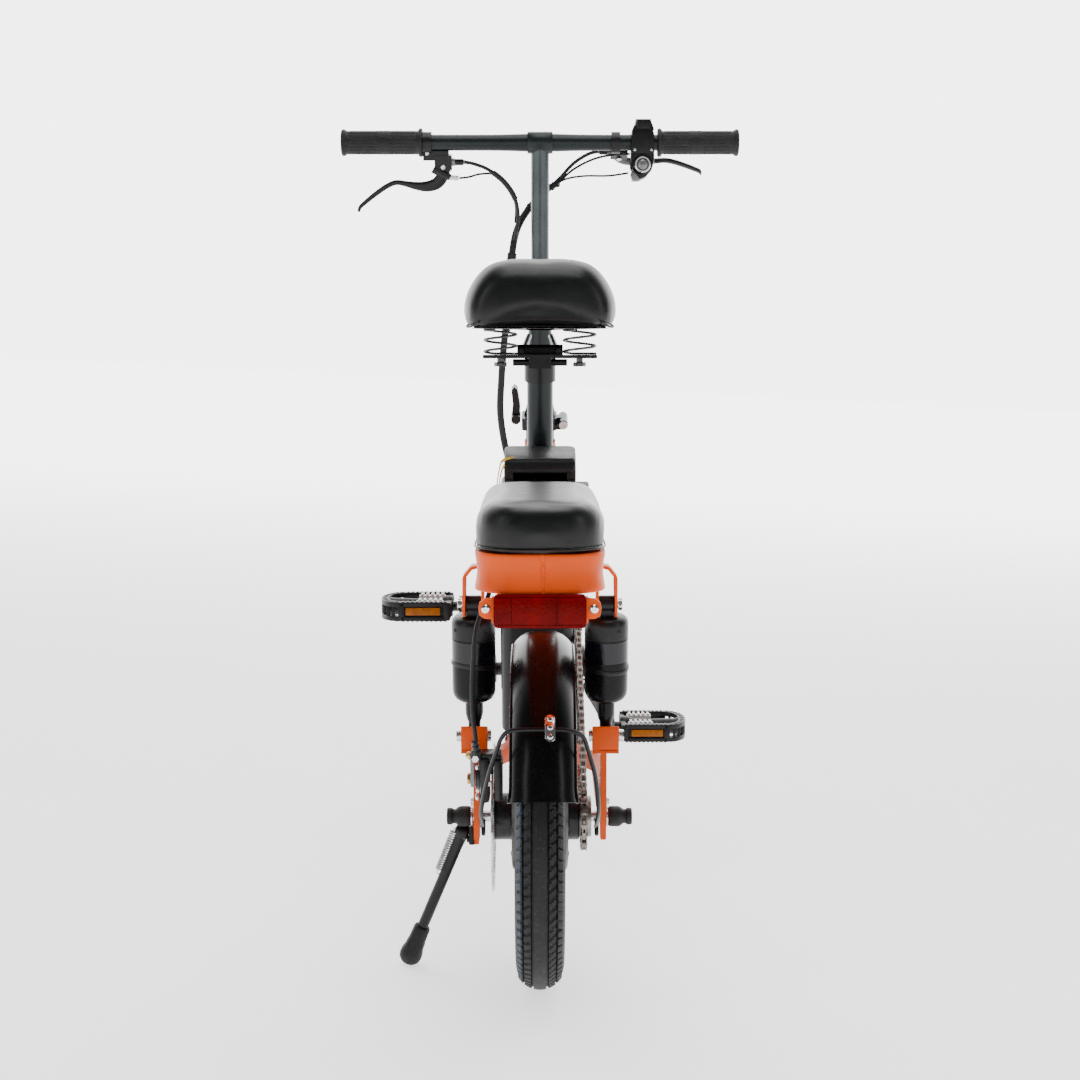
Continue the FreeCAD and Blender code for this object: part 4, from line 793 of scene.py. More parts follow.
def reflector():
    """The reflector with its three ribbed panels, its eared plate, and the tabs that hold the shocks."""
    ear = ((42, 428), (53, 429), (57.5, 432), (58.5, 438.5), (57.5, 445), (52, 448.5), (42, 449.5))
    outer_tab = ((81, 406), (81, 446), (80, 449.5), (73.5, 457.5), (71, 459.2), (64.2, 460),
                 (64.2, 457), (70, 456.4), (71.6, 455.4), (77.2, 448.4), (78, 446), (78, 406))
    inner_tab = ((58.5, 406), (61.5, 406), (61.5, 452), (58.5, 452))
    plate = bmesh.new()
    slab(plate, (-46, -199, 424), (46, -196, 450), 0.8)
    for side in SIDES:
        board(plate, [(side * x, z) for x, z in ear], -202.6, -199.2, "Y", 0.9)
        for tab in (outer_tab, inner_tab):
            board(plate, [(side * x, z) for x, z in tab], -43, -17, "Y", 0.7)
    emit("reflector_plate", plate, "root", ORANGE, ("reflector_bracket",))
    rim = bmesh.new()
    board(rim, rounded_outline(44, 420.5, 452.5, 3.5, 3.5, 0, 6), -207, -200.2, "Y", 1.2)
    for low, high in ((-42, -27.4), (-26.6, 15.6), (16.4, 42)):
        slab(rim, (low, -208.1, 424.2), (high, -206.4, 450), 0.7)
    for k in range(27):
        lathe(rim, ((0.01, 0.9), (0.7, 0.7), (0.95, 0), (0.01, 0)), (-39 + 3 * k, -207.4, 422.9),
              (0, -1, 0), 8)
    emit("reflector_lens", rim, "root", RED, ("rear_reflector",))
    screws = bmesh.new()
    for side in SIDES:
        screw(screws, (side * 51.5, -202.4, 438.5), (0, -1, 0), 4.2, 2.8)
        screw(screws, (side * 82, -30, 418), (side, 0, 0), 6, 3.5)
        nut(screws, (side * 82.4, -30, 418), (side, 0, 0), 7, 4)
    emit("reflector_screws", screws, "root", CHROME)


SHOCK = Matrix.Translation((0, -30, 418)) @ Matrix.Rotation(math.radians(7.853), 4, "X")
SHOCK_X = 70
SHOCK_LENGTH = 146.4
EYE = ((8.4, -8), (9.2, -7), (9.2, 7), (8.4, 8))


def shocks():
    """Both shock bodies with a satin head, a glossy band and a slanted ring, and the rods below."""
    down = (0, 0, -1)
    bodies = bmesh.new()
    rods = bmesh.new()
    for side in SIDES:
        top = (side * SHOCK_X, 0, 0)
        lathe(bodies, ((0.01, 12), (14, 12), (19.4, 13.2), (22.2, 16), (23, 20), (23, 35.2), (22.2, 36),
                       (22.2, 37), (0.01, 37)), top, down, 56)
        lathe(bodies, ((0.01, 37), (23.05, 37), (23.05, 60), (0.01, 60)), top, down, 56, slot=1)
        lathe(bodies, ((0.01, 60), (22.5, 60), (22.9, 62), (22.9, 93), (22.2, 98), (19.8, 102.4), (16, 105),
                       (11.4, 106), (11.2, 104), (0.01, 104)), top, down, 56, slot=2)
        rings = []
        for k in range(56):
            a = math.tau * k / 56
            drop = 66 + 4.2 * math.cos(a + side * 0.9)
            ring = []
            for r, h in ((22.4, -2.6), (23.8, -2.2), (24.2, -0.6), (24.2, 1.4), (23.8, 2.4), (22.4, 2.6)):
                ring.append((side * SHOCK_X + r * math.cos(a), r * math.sin(a), -(drop + h)))
            rings.append(ring)
        loft(bodies, rings, closed=True)
        lathe(bodies, ((4, -8), *EYE, (4, 8)), top, (1, 0, 0), 28)
        slab(bodies, (side * SHOCK_X - 7, -8, -14), (side * SHOCK_X + 7, 8, -4), 1.5)
        for k in range(4):
            a = math.tau * k / 4 + 0.6
            screw(bodies, (side * SHOCK_X + 22.6 * math.cos(a), 22.6 * math.sin(a), -25),
                  (math.cos(a), math.sin(a), 0), 2.2, 1.2)
        lathe(rods, ((0.01, 90), (9.4, 90), (9.4, 121), (8.6, 123), (8.2, 126), (6.6, 130), (6.2, 140),
                     (0.01, 140)), top, down, 32)
        lathe(rods, ((5.2, -8), *EYE, (5.2, 8)), (side * SHOCK_X, 0, -SHOCK_LENGTH), (1, 0, 0), 28)
    emit("shock_barrels", bodies, "shock_bodies", (BLACK_SATIN, LABEL, BLACK_GLOSS),
         ("shock_bodies",), place=SHOCK)
    emit("shock_sleeves", rods, "shock_rods", BLACK_GLOSS, ("shock_rods",), place=SHOCK)
    boxes = bmesh.new()
    for side in SIDES:
        slab(boxes, (side * 56, -25, 262), (side * 84, -22.3, 286), 1.2)
        slab(boxes, (side * 56, -22, 257.5), (side * 84, 2, 261), 1.2)
    emit("clevis_faces", boxes, "swingarm", ORANGE)
    bolts = bmesh.new()
    for side in SIDES:
        nut(bolts, (side * 84.4, -10, 273), (side, 0, 0), 6.5, 5)
        screw(bolts, (side * 55.6, -10, 273), (-side, 0, 0), 5.5, 3)
    emit("clevis_bolts", bolts, "swingarm", CHROME)


# ---- swingarm details, brakes, kickstand ----------------------------------------------------------


def axle_ends():
    """The rear axle with its rubber caps, washers, nuts and torque plates."""
    caps = bmesh.new()
    profile = ((0.01, 0), (9.4, 0), (10.8, 1.6), (11.1, 5), (11.1, 11), (10.2, 14), (8.2, 16), (7.6, 17.6),
               (7.8, 19.6), (9.0, 20.6), (9.2, 24), (8.4, 26), (0.01, 26.4))
    washers = bmesh.new()
    for side in SIDES:
        start = -73 if side < 0 else 71.7
        lathe(caps, profile, (start + side * 1.4, 0, WHEEL_Z), (side, 0, 0), 32)
        lathe(washers, ((6.2, 0), (10.6, 0), (10.6, 1.4), (6.2, 1.4)), (start, 0, WHEEL_Z), (side, 0, 0),
              28)
        nut(washers, (start, 0, WHEEL_Z), (side, 0, 0), 9, 1.8)
        slab(washers, (side * 71.2, -3, 186), (side * 73, 3, 203), 0.6)
        screw(washers, (side * 72.6, 0, 199), (side, 0, 0), 3.4, 2.4)
    lathe(washers, ((0.01, -72), (6, -72), (6, 71), (0.01, 71)), (0, 0, WHEEL_Z), (1, 0, 0), 20)
    emit("axle_caps", caps, "swingarm", RUBBER, ("rear_axle",))
    emit("axle_washers", washers, "swingarm", STEEL)


def rear_brake():
    """The disc caliper, its mount and its cable adjuster."""
    body = bmesh.new()
    slab(body, (-62.6, -71, 214), (-52.2, -36, 262), 4.5)
    slab(body, (-47.8, -70, 216), (-39, -38, 260), 3.5)
    slab(body, (-62, -66, 258.6), (-40, -40, 266), 2.6)
    slab(body, (-64.6, -40, 224), (-56, -8, 241), 2)
    lathe(body, ((0.01, 0), (13.2, 0), (13.2, 2), (12, 3), (12, 4.6), (10.2, 5.4), (0.01, 5.6)),
          (-62.2, -53, 238), (-1, 0, 0), 36)
    for k in range(4):
        slab(body, (-63.6, -69 + 5 * k, 248), (-61.6, -66.6 + 5 * k, 261), 0.7)
    slab(body, (-70, -70, 258), (-61, -58, 268), 1.6)
    lathe(body, ((0.01, 0), (5, 0), (5, 6), (4.2, 7), (4.2, 12), (3.4, 13), (3.4, 17), (0.01, 17)),
          (-65.4, -66.5, 265), (-0.12, -0.35, 0.93), 18)
    emit("caliper_body", body, "swingarm", ALLOY, ("rear_caliper",))
    bright = bmesh.new()
    for y, z in ((-64, 252), (-42, 222), (-20, 232.5), (-64, 220)):
        screw(bright, (-64.4, y, z), (-1, 0, 0), 3.8, 3)
    screw(bright, (-53, -70.4, 236), (0, -1, 0), 3.2, 2.2)
    nut(bright, (-67, -70, 262), (0, -1, 0), 4, 3)
    emit("caliper_bolts", bright, "swingarm", STEEL)
    arm = bmesh.new()
    board(arm, [(-58, 229), (-45, 228), (-42, 234), (-44, 242), (-54, 262), (-60, 268), (-68, 268),
                (-70, 262), (-60, 246)], -72.6, -69, "X", 0.9)
    lathe(arm, ((0.01, 0), (9, 0), (9, 3), (6, 4), (0.01, 4)), (-68.6, -50, 236), (-1, 0, 0), 28)
    emit("caliper_lever", arm, "rear_brake_arm", GREY, ("rear_caliper_arm",))
    anchor = bmesh.new()
    nut(anchor, (-72.4, -50, 236), (-1, 0, 0), 6, 4)
    screw(anchor, (-72.4, -64, 264), (-1, 0, 0), 4.4, 3.4)
    lathe(anchor, ((0.01, 0), (2.4, 0), (2.4, 5), (0.01, 5)), (-72.4, -64, 264), (-1, 0, 0), 12)
    emit("caliper_anchor", anchor, "rear_brake_arm", BRASS)
    front = bmesh.new()
    slab(front, (-38, FRONT_Y - 67, 212), (-32.4, FRONT_Y - 33, 262), 2.6)
    slab(front, (-28.6, FRONT_Y - 66, 214), (-23.4, FRONT_Y - 34, 260), 2.4)
    slab(front, (-37, FRONT_Y - 60, 257.6), (-24, FRONT_Y - 38, 264.6), 2.2)
    lathe(front, ((0.01, 0), (12, 0), (12, 1.4), (10.4, 2.2), (0.01, 2.4)), (-37.6, FRONT_Y - 54, 234),
          (-1, 0, 0), 30)
    emit("front_caliper_body", front, "fork", ALLOY, ("front_caliper",))
    lever = bmesh.new()
    y = FRONT_Y - 54
    board(lever, [(y - 8, 224), (y + 6, 224), (y + 9, 231), (y + 6, 238), (y - 5, 258), (y - 12, 264),
                  (y - 20, 264),
                  (y - 22, 258), (y - 9, 240)], -44.6, -41.2, "X", 0.9)
    lathe(lever, ((0.01, 0), (8.6, 0), (8.6, 3), (5.6, 4.4), (0.01, 4.4)), (-40.6, y, 232), (-1, 0, 0), 26)
    screw(lever, (-44.4, y - 15, 259), (-1, 0, 0), 4, 3)
    emit("front_caliper_lever", lever, "front_brake_arm", GREY, ("front_caliper_arm",))


KICK_HINGE = Vector((-0.924, 0, 0.383))
KICK_DOWN = Vector((-0.38, 0.1, -0.92)).normalized()


def kickstand():
    """The leg with its pressed hinge ears, return spring and moulded rubber foot."""
    pivot = Vector((-79, 12, 160))
    top = pivot + KICK_HINGE * 5
    tilt = LEAN
    fall = TYRE_SECTION + math.sin(tilt) * top.x + math.cos(tilt) * (top.z - TYRE_SECTION) - 12.5
    reach = fall / -(math.sin(tilt) * KICK_DOWN.x + math.cos(tilt) * KICK_DOWN.z)
    leg = bmesh.new()
    lathe(leg, ((0.01, 0), (8.6, 0), (9, 0.6), (9, 10.4), (8.6, 11), (0.01, 11)), pivot, KICK_HINGE, 30)
    lathe(leg, ((0.01, -5), (7, -5), (7.4, 0), (6.4, 10), (6, 18), (6, reach - 30), (0.01, reach - 30)),
          top,
          KICK_DOWN, 24)
    screw(leg, pivot + KICK_HINGE * 11, KICK_HINGE, 5, 3)
    emit("kickstand_leg", leg, "kickstand", BLACK_SATIN, ("kickstand",))
    foot = bmesh.new()
    lathe(foot, ((0.01, reach - 34), (8.4, reach - 34), (9.2, reach - 32), (9.2, reach - 18),
                 (9.8, reach - 16),
                 (10.6, reach - 9), (12.2, reach - 3), (12.6, reach + 2), (11.6, reach + 7),
                 (8, reach + 11),
                 (0.01, reach + 12.2)), top, KICK_DOWN, 32,
          wave=lambda a, h: 0.35 * math.cos(a * 10) if reach - 31 < h < reach - 12 else 0)
    emit("kickstand_foot", foot, "kickstand", RUBBER)
    bracket = bmesh.new()
    board(bracket, [(0, 150), (26, 150), (26, 170), (2, 170)], -77, -71.2, "X", 1)
    for y, z in ((6, 155), (21, 165)):
        screw(bracket, (-77, y, z), (-1, 0, 0), 4, 2.6)
    emit("kickstand_bracket", bracket, "swingarm", BLACK_SATIN)
    spring = bmesh.new()
    start = top + KICK_HINGE * 10 + KICK_DOWN * 4
    end = top + KICK_HINGE * 9 + KICK_DOWN * 52
    run = end - start
    side, up = across(run)
    turns = 17
    line = []
    for k in range(turns * 12 + 1):
        share = k / (turns * 12)
        a = math.tau * turns * share
        line.append(start + run * share + (side * math.cos(a) + up * math.sin(a)) * 3.6)
    tube(spring, line, 0.75, 6)
    tube(spring, (end, end + KICK_DOWN * 4, top + KICK_DOWN * 58), 0.9, 8)
    tube(spring, (start, start - KICK_DOWN * 4, top), 0.9, 8)
    emit("kickstand_spring", spring, "kickstand", STEEL)


def hub_cover():
    mesh = bmesh.new()
    profile = ((6.05, -52), (16.9, -52), (16.9, -49), (24.6, -49), (25, -48), (25, -31.5), (27, -30),
               (38, -30), (40, -29), (50, -29), (52, -30), (55, -29.4), (59.9, -25), (59.9, 25),
               (55, 29.4), (52, 30), (50, 29), (40, 29), (38, 30), (27, 30), (25, 31.5), (25, 41),
               (24, 42), (6.05, 42))
    lathe(mesh, profile, (0, 0, WHEEL_Z), (1, 0, 0), 72)
    for side in SIDES:
        for k in range(8):
            a = math.tau * k / 8
            screw(mesh, (side * 28.8, 45 * math.cos(a), WHEEL_Z + 45 * math.sin(a)), (side, 0, 0), 3.2, 2.2)
    emit("hub_shell", mesh, "rear_wheel", ALLOY, ("hub_motor",), crease=34)
    tail = bmesh.new()
    line = flowing(((-70, 4, 178), (-74, 20, 176), (-73, 60, 182), (-68, 120, 190), (-56, 200, 198)), 8)
    tube(tail, line, 3, 12)
    emit("motor_lead", tail, "swingarm", RUBBER)


# ---- drive ----------------------------------------------------------------------------------------


def chain_line(spacing):
    """Points along the chain's pitch line, a link apart, with their headings in the YZ plane."""
    big, small = 89.01, 32.55
    front = Vector((345, 280))
    rear = Vector((0, 182))
    line = front - rear
    run = line.length
    lean = math.asin((big - small) / run)
    heading = math.atan2(line.y, line.x)
    straight = run * math.cos(lean)
    round_front = big * (math.pi + 2 * lean)
    round_rear = small * (math.pi - 2 * lean)
    total = 2 * straight + round_front + round_rear
    count = 2 * round(total / spacing / 2)
    places = []
    for i in range(count):
        d = total * i / count
        up = heading + math.pi / 2 + lean
        if d < straight:
            t = heading + lean
            start = rear + Vector((math.cos(up), math.sin(up))) * small
            point = start + Vector((math.cos(t), math.sin(t))) * d
            way = t
        elif d < straight + round_front:
            a = up - (d - straight) / big
            point = front + Vector((math.cos(a), math.sin(a))) * big
            way = a - math.pi / 2
        elif d < 2 * straight + round_front:
            down = heading - math.pi / 2 - lean
            start = front + Vector((math.cos(down), math.sin(down))) * big
            t = heading - lean + math.pi
            point = start + Vector((math.cos(t), math.sin(t))) * (d - straight - round_front)
            way = t
        else:
            a = heading - math.pi / 2 - lean - (d - 2 * straight - round_front) / small
            point = rear + Vector((math.cos(a), math.sin(a))) * small
            way = a - math.pi / 2
        places.append((point, way))
    return places


def chain():
    """The chain, link by link: inner and outer plates in turn, with their rollers."""
    mesh = bmesh.new()
    places = chain_line(12.7)
    count = len(places)
    for i, (point, _) in enumerate(places):
        after = places[(i + 1) % count][0]
        step = after - point
        angle = math.atan2(step.y, step.x)
        reach = step.length
        outline = []
        for pin, first in ((0, 90), (reach, -90)):
            for k in range(7):
                a = math.radians(first + 30 * k)
                outline.append((pin + 4.0 * math.cos(a), 4.0 * math.sin(a)))
            outline.append((reach / 2, math.copysign(3.0, -first)))
        turned = []
        for u, v in outline:
            turned.append((point.x + u * math.cos(angle) - v * math.sin(angle),
                           point.y + u * math.sin(angle) + v * math.cos(angle)))
        for low, high in ((-3.3, -2.2), (2.2, 3.3)) if i % 2 else ((-2.1, -1.2), (1.2, 2.1)):
            board(mesh, turned, CHAIN_X + low, CHAIN_X + high, "X", 0)
        lathe(mesh, ((0.01, -3.7), (1.7, -3.7), (1.7, -1.2), (3.8, -1.1), (3.8, 1.1), (1.7, 1.2),
                     (1.7, 3.7), (0.01, 3.7)), (CHAIN_X, point.x, point.y), (1, 0, 0), 10)
    piece = emit("chain_links", mesh, None, CHAIN_STEEL, ("chain",))
    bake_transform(piece)


def crank_caps():
    """The covers of the crank bolts, and the five chainring bolts."""
    mesh = bmesh.new()
    for side in SIDES:
        lathe(mesh, ((0.01, 0), (10.5, 0), (10.5, 1.5), (8, 3), (0.01, 3.2)), (side * 71, CRANK_Y, CRANK_Z),
              (side, 0, 0), 26)
    emit("crank_caps", mesh, "crank", BLACK_GLOSS)
    bolts = bmesh.new()
    for i in range(5):
        a = math.radians(72 * i + 20)
        at = Vector((51.8, CRANK_Y - 66 * math.sin(a), CRANK_Z + 66 * math.cos(a)))
        screw(bolts, at, (1, 0, 0), 5, 3)
    emit("chainring_bolts", bolts, "crank", CHROME)


def pedal(name, body, side, node):
    """A caged platform with toothed rails, reflectors, a round outer end and a central barrel."""
    angle = math.radians(47)
    centre = Matrix.Translation((0, CRANK_Y + side * 127 * math.cos(angle),
                                 CRANK_Z - side * 127 * math.sin(angle)))
    place = centre if side > 0 else centre @ Matrix.Rotation(math.pi, 4, "Z")
    mesh = bmesh.new()
    lathe(mesh, ((6.1, 106), (12, 106), (13.2, 109), (13.2, 116), (10.5, 121), (9.6, 150), (10.4, 178),
                 (11.4, 182), (11.4, 186), (9, 188), (0.01, 188)), (0, 0, 0), (1, 0, 0), 32)
    for edge in SIDES:
        outer, inner = edge * 46, edge * 38
        for low, high in ((-11.5, -6.2), (6.2, 11.5)):
            slab(mesh, (112, outer, low), (166, inner - edge, high), 1.2)
        slab(mesh, (107, outer, -11), (115, inner - edge, 11), 1.6)
        slab(mesh, (161, outer, -11), (169, inner, 11), 1.6)
        slab(mesh, (112, outer - edge * 3, -7), (166, inner, 7), 0.6)
        for k in range(10):
            x = 111 + k * 5.6
            for top in SIDES:
                slab(mesh, (x, outer, top * 12.2), (x + 3.1, inner, top * 9.6), 0.7)
    slab(mesh, (106, -40, -9), (113, 40, 9), 2)
    outline = []
    for inset in (0, 9):
        arc = []
        for k in range(19):
            a = math.radians(-90 + 10 * k)
            swell = math.cos(a) ** 0.8 if math.cos(a) > 0.001 else 0
            arc.append((165 + (27 - inset) * swell, (46 - inset) * math.sin(a)))
        outline.append(arc)
    bend = outline[0] + list(reversed(outline[1]))
    for low, high in ((-11.5, -5.5), (5.5, 11.5)):
        board(mesh, bend, low, high, "Z", 1.0)
    for k in range(9):
        a = math.radians(-72 + 18 * k)
        x = 165 + 25.4 * math.cos(a) ** 0.8
        y = 43.4 * math.sin(a)
        slab(mesh, (x - 2.2, y - 1.8, -6.4), (x + 1.6, y + 1.8, 6.4), 0.6)
    for k in range(11):
        a = math.radians(-80 + 16 * k)
        x = 165 + 22.6 * math.cos(a) ** 0.8
        y = 41.6 * math.sin(a)
        for top in SIDES:
            slab(mesh, (x - 2.4, y - 1.7, top * 12.2), (x + 2.4, y + 1.7, top * 10), 0.7)
    emit(name + "_cage", mesh, body, PLASTIC, (node,), place=place)
    lens = bmesh.new()
    for edge in SIDES:
        slab(lens, (119, edge * 43.4, -4.6), (160, edge * 45.2, 4.6), 0.8)
    emit(name + "_reflectors", lens, body, AMBER, place=place)
    pads = bmesh.new()
    for y in (-24, 24):
        slab(pads, (116, y - 8, 7.2), (148, y + 8, 10.4), 1)
        for k in range(5):
            slab(pads, (117.5 + k * 6.2, y - 8, 9.8), (121 + k * 6.2, y + 8, 12.6), 0.8)
    emit(name + "_pads", pads, body, WHITE, place=place)


# ---- battery --------------------------------------------------------------------------------------


def battery():
    """The battery's ribbed case, its handle with end caps and latch, its screws, lock and key strap."""
    levels = ((-46, 3), (-44, 0.6), (-40, 0), (40, 0), (150, 0), (240, 0), (262, 0), (266, 0.8), (268, 3))
    mesh = bmesh.new()
    rings = []
    for z, inset in levels:
        rings.append([(x - 3, y, z) for x, y in rounded_outline(44, -92, -25, 14, 12, inset, 8)])
    loft(mesh, rings)
    for side in SIDES:
        for y in (-78, -58, -38):
            slab(mesh, (side * 43.6 - 4.0, y - 4, 10), (side * 43.6 - 2.0, y + 4, 230), 0.9)
    emit("battery_shell", mesh, "battery", BLACK_SATIN, ("battery_case",), place=SEAT)
    cap = bmesh.new()
    for z_low, z_high, far in ((268.1, 280.6, -90), (297.4, 304.6, -88), (280.2, 297.8, -64)):
        rings = []
        for z, inset in ((z_low, 0.8), (z_low + 0.8, 0), (z_high - 1.2, 0), (z_high, 1.6)):
            rings.append([(x, y, z) for x, y in rounded_outline(42, far, -27, 8, 8, inset, 6)])
        loft(cap, rings)
    for side in SIDES:
        slab(cap, (side * 31, -90, 279), (side * 42, -60, 299), 2)
    lathe(cap, ((0.01, -41), (8, -41), (9.4, -39.6), (9.6, -37), (9.0, -34), (9.0, 34), (9.6, 37),
                (9.4, 39.6), (8, 41), (0.01, 41)), (0, -82, 297), (1, 0, 0), 30)
    for side in SIDES:
        corner = [(side * x, z) for x, z in ((40, 270), (14, 270), (30, 281), (41, 283))]
        board(cap, corner, -91.4, -89, "Y", 0.7)
    emit("battery_handle", cap, "battery", PLASTIC, ("battery_cap",), place=SEAT)
    grey = bmesh.new()
    board(grey, [(-15, 266), (15, 266), (10, 275), (-10, 275)], -93.2, -90.4, "Y", 0.8)
    for side in SIDES:
        lathe(grey, ((0.01, 0), (7, 0), (7, 0.8), (5, 1.2), (0.01, 1.2)), (side * 40.6, -82, 297),
              (side, 0, 0), 22)
    emit("battery_latch", grey, "battery", GREY, place=SEAT)
    screws = bmesh.new()
    for x in (-29, 29):
        screw(screws, (x, -91.2, 273.6), (0, -1, 0), 2.8, 1.6)
    emit("battery_screws", screws, "battery", CHROME, place=SEAT)
    plug = bmesh.new()
    slab(plug, (40.4, -70, 246), (58, -48, 267), 2.4)
    lathe(plug, ((0.01, 0), (7, 0), (7, 3), (5.4, 4), (0.01, 4)), (50, -70, 257), (0, -1, 0), 22)
    emit("battery_lock", plug, "battery", PLASTIC, place=SEAT)
    strap = bmesh.new()
    route = ((-30, -80, 305), (-38, -84, 306), (-45, -88, 303), (-48, -92, 292), (-50, -93, 279),
             (-51.4, -92, 270), (-49.5, -91, 267), (-48, -92, 274), (-46, -92, 288), (-42, -88, 299),
             (-34, -84, 304))
    line = flowing(route, 6)
    last = len(line) - 1
    wide = Vector((0, 1, 0.3)).normalized() * 2.6
    rings = []
    for i, point in enumerate(line):
        ahead = (line[min(i + 1, last)] - line[max(i - 1, 0)]).normalized()
        thick = ahead.cross(wide).normalized() * 0.6
        rings.append([point + wide + thick, point - wide + thick, point - wide - thick,
                      point + wide - thick])
    loft(strap, rings)
    emit("key_strap", strap, "battery", YELLOW, place=SEAT)


# ---- handlebar ------------------------------------------------------------------------------------


def grip_ribs(angle, height):
    """The lengthwise ribs of a grip, and the plain band between them."""
    if not 9 < height < 104:
        return 0
    if 44 < height < 62:
        return 0.55
    return 0.5 * max(-0.5, min(0.6, 1.6 * math.cos(angle * 22)))


def grips():
    """Both grips, with a flange at each end."""
    profile = [(11.15, 0), (18.6, 0), (19.6, 0.8), (19.6, 4.0), (18.6, 5.2), (16.6, 6)]
    profile += [(15.9, 8 + k * 2.4) for k in range(41)]
    profile += [(16.8, 107), (18.0, 108.4), (18.6, 110), (18.4, 112.4), (16.4, 113.4), (0.01, 113.4)]
    for side, name in ((-1, "grip_left"), (1, "grip_right")):
        mesh = bmesh.new()
        lathe(mesh, profile, BAR @ Vector((side * 164.6, 0, 0)), (side, 0, 0), 132, wave=grip_ribs)
        emit(name, mesh, "bars", RUBBER, ("grips",), crease=24)


def brake_levers():
    """The lever blades with their pivots and cable adjusters. A spine gives x, y and half thickness."""
    spine = ((-1, -3, 8), (0, 10, 8.5), (9, 23, 8.5), (24, 28, 7.5), (40, 27, 5.6), (54, 24.2, 4.0),
             (68, 22.6, 3.6), (82, 28.5, 3.6), (100, 41, 3.4), (113, 51.5, 3.0), (119.5, 57.5, 2.6),
             (121.5, 63.5, 2.0))
    for side, start, node, body in ((-1, 136, "brake_lever_left", "left_lever"),
                                    (1, 112, "brake_lever_right", "right_lever")):
        mesh = bmesh.new()
        line = flowing([(start + x, 33 + y, half) for x, y, half in spine], 6)
        last = len(line) - 1
        rings = []
        for i, point in enumerate(line):
            ahead = (line[min(i + 1, last)] - line[max(i - 1, 0)]).normalized()
            out = Vector((-ahead.y, ahead.x, 0)).normalized()
            half = point.z
            centre = Vector((point.x, point.y, 0))
            tall = 3.9 - 0.8 * i / last
            ring = []
            for k in range(20):
                a = math.tau * k / 20
                c, q = math.cos(a), math.sin(a)
                ring.append(centre + out * half * math.copysign(abs(c) ** 0.75, c)
                            + Vector((0, 0, 1)) * tall * math.copysign(abs(q) ** 0.75, q))
            rings.append(ring)
        loft(mesh, rings)
        emit(node + "_blade", mesh, body, BLACK_SATIN, (node,), place=brake_frame(side))
        pin = bmesh.new()
        screw(pin, (start, 33, 7), (0, 0, 1), 3.6, 2.2)
        nut(pin, (start, 33, -7), (0, 0, -1), 4, 3)
        screw(pin, (start + (22 if side < 0 else -4), 14, 6), (0, 0, 1), 3.2, 2.4)
        emit(node + "_pin", pin, "bars", STEEL, place=brake_frame(side))
        barrel = bmesh.new()
        near = start - 12
        lathe(barrel, ((0.01, 0), (5.2, 0), (5.2, 5), (4.2, 6), (4.2, 12), (3.2, 13.5), (3.2, 19),
                       (0.01, 19)),
              (near + 1, 27, 0), (-1, 0, 0), 20,
              wave=lambda a, h: 0.25 * math.cos(a * 10) if h < 5.5 else 0)
        emit(node + "_adjuster", barrel, "bars", GREY, place=brake_frame(side))


def pod():
    """The switch pod's shell, its ringed round button and silver cap, and the bar's tube and collar."""
    ring = bmesh.new()
    lathe(ring, ((8.3, 0), (10.8, 0), (11.2, 0.8), (11.2, 2.6), (10.4, 3.6), (8.6, 3.6), (8.3, 2.8)),
          (143, -19, -32), (0, -1, 0), 36, ring=True)
    emit("button_ring", ring, "bars", CHROME, place=BAR)
    dome = bmesh.new()
    lathe(dome, ((0.01, 2.4), (3, 2.2), (5.8, 1.3), (7.4, -0.4), (7.8, -3), (0.01, -3)), (143, -22.6, -32),
          (0, -1, 0), 30)
    emit("round_button", dome, "button", GREY, ("mode_button",), place=BAR)
    body = bmesh.new()
    outline = ((133.5, 31), (154.5, 31), (156, 15), (159, 12), (159.6, -26), (156, -39), (148, -48.5),
               (138, -53.4), (129, -53.4), (127.3, -46), (129.5, -34), (127.2, -20), (127.2, 12),
               (131.5, 15))
    board(body, outline, -17, 11.6, "Y", 3)
    board(body, ((127.6, -17), (158.8, -17), (158.8, 11), (155, 14), (132, 14), (127.6, 11)), -20.2, -16,
          "Y", 1.4)
    board(body, ((134.5, 29.5), (153.5, 29.5), (153.5, 16.5), (134.5, 16.5)), -21, -15, "Y", 1.2)
    lathe(body, ((8.4, 0), (14, 0), (14, 1.6), (12.4, 3.4), (8.4, 3.4)), (143, -16, -32), (0, -1, 0), 38,
          ring=True)
    emit("pod_shell", body, "bars", BLACK_SATIN, ("control_pod",), place=BAR)
    cap = bmesh.new()
    board(cap, ((128.6, -38), (133, -47), (141, -51.6), (138, -54.8), (128.6, -54.6), (125.6, -46)), -21,
          -12, "Y",
          1.6)
    emit("pod_cap", cap, "bars", GREY, place=BAR)
    bar = bmesh.new()
    lathe(bar, [(11.1 + 1.5 * math.exp(-(x / 42) ** 2), x) for x in range(-270, 271, 6)], (0, 0, 0),
          (1, 0, 0), 40)
    emit("bar_tube", bar, "bars", SLATE, ("handlebar",), place=BAR)
    collar = bmesh.new()
    lathe(collar, ((13, -17.6), (14.8, -17.6), (15.2, -17), (15.2, 17), (14.8, 17.6), (13, 17.6)),
          (0, 0, 0), (1, 0, 0), 44)
    emit("bar_collar", collar, "bars", SLATE, place=BAR)
    small = bmesh.new()
    for x in (132, 155):
        screw(small, (x, -20.2, -12), (0, -1, 0), 1.9, 1.1)
    emit("bar_screws", small, "bars", STEEL, place=BAR)


# ---- cables ---------------------------------------------------------------------------------------


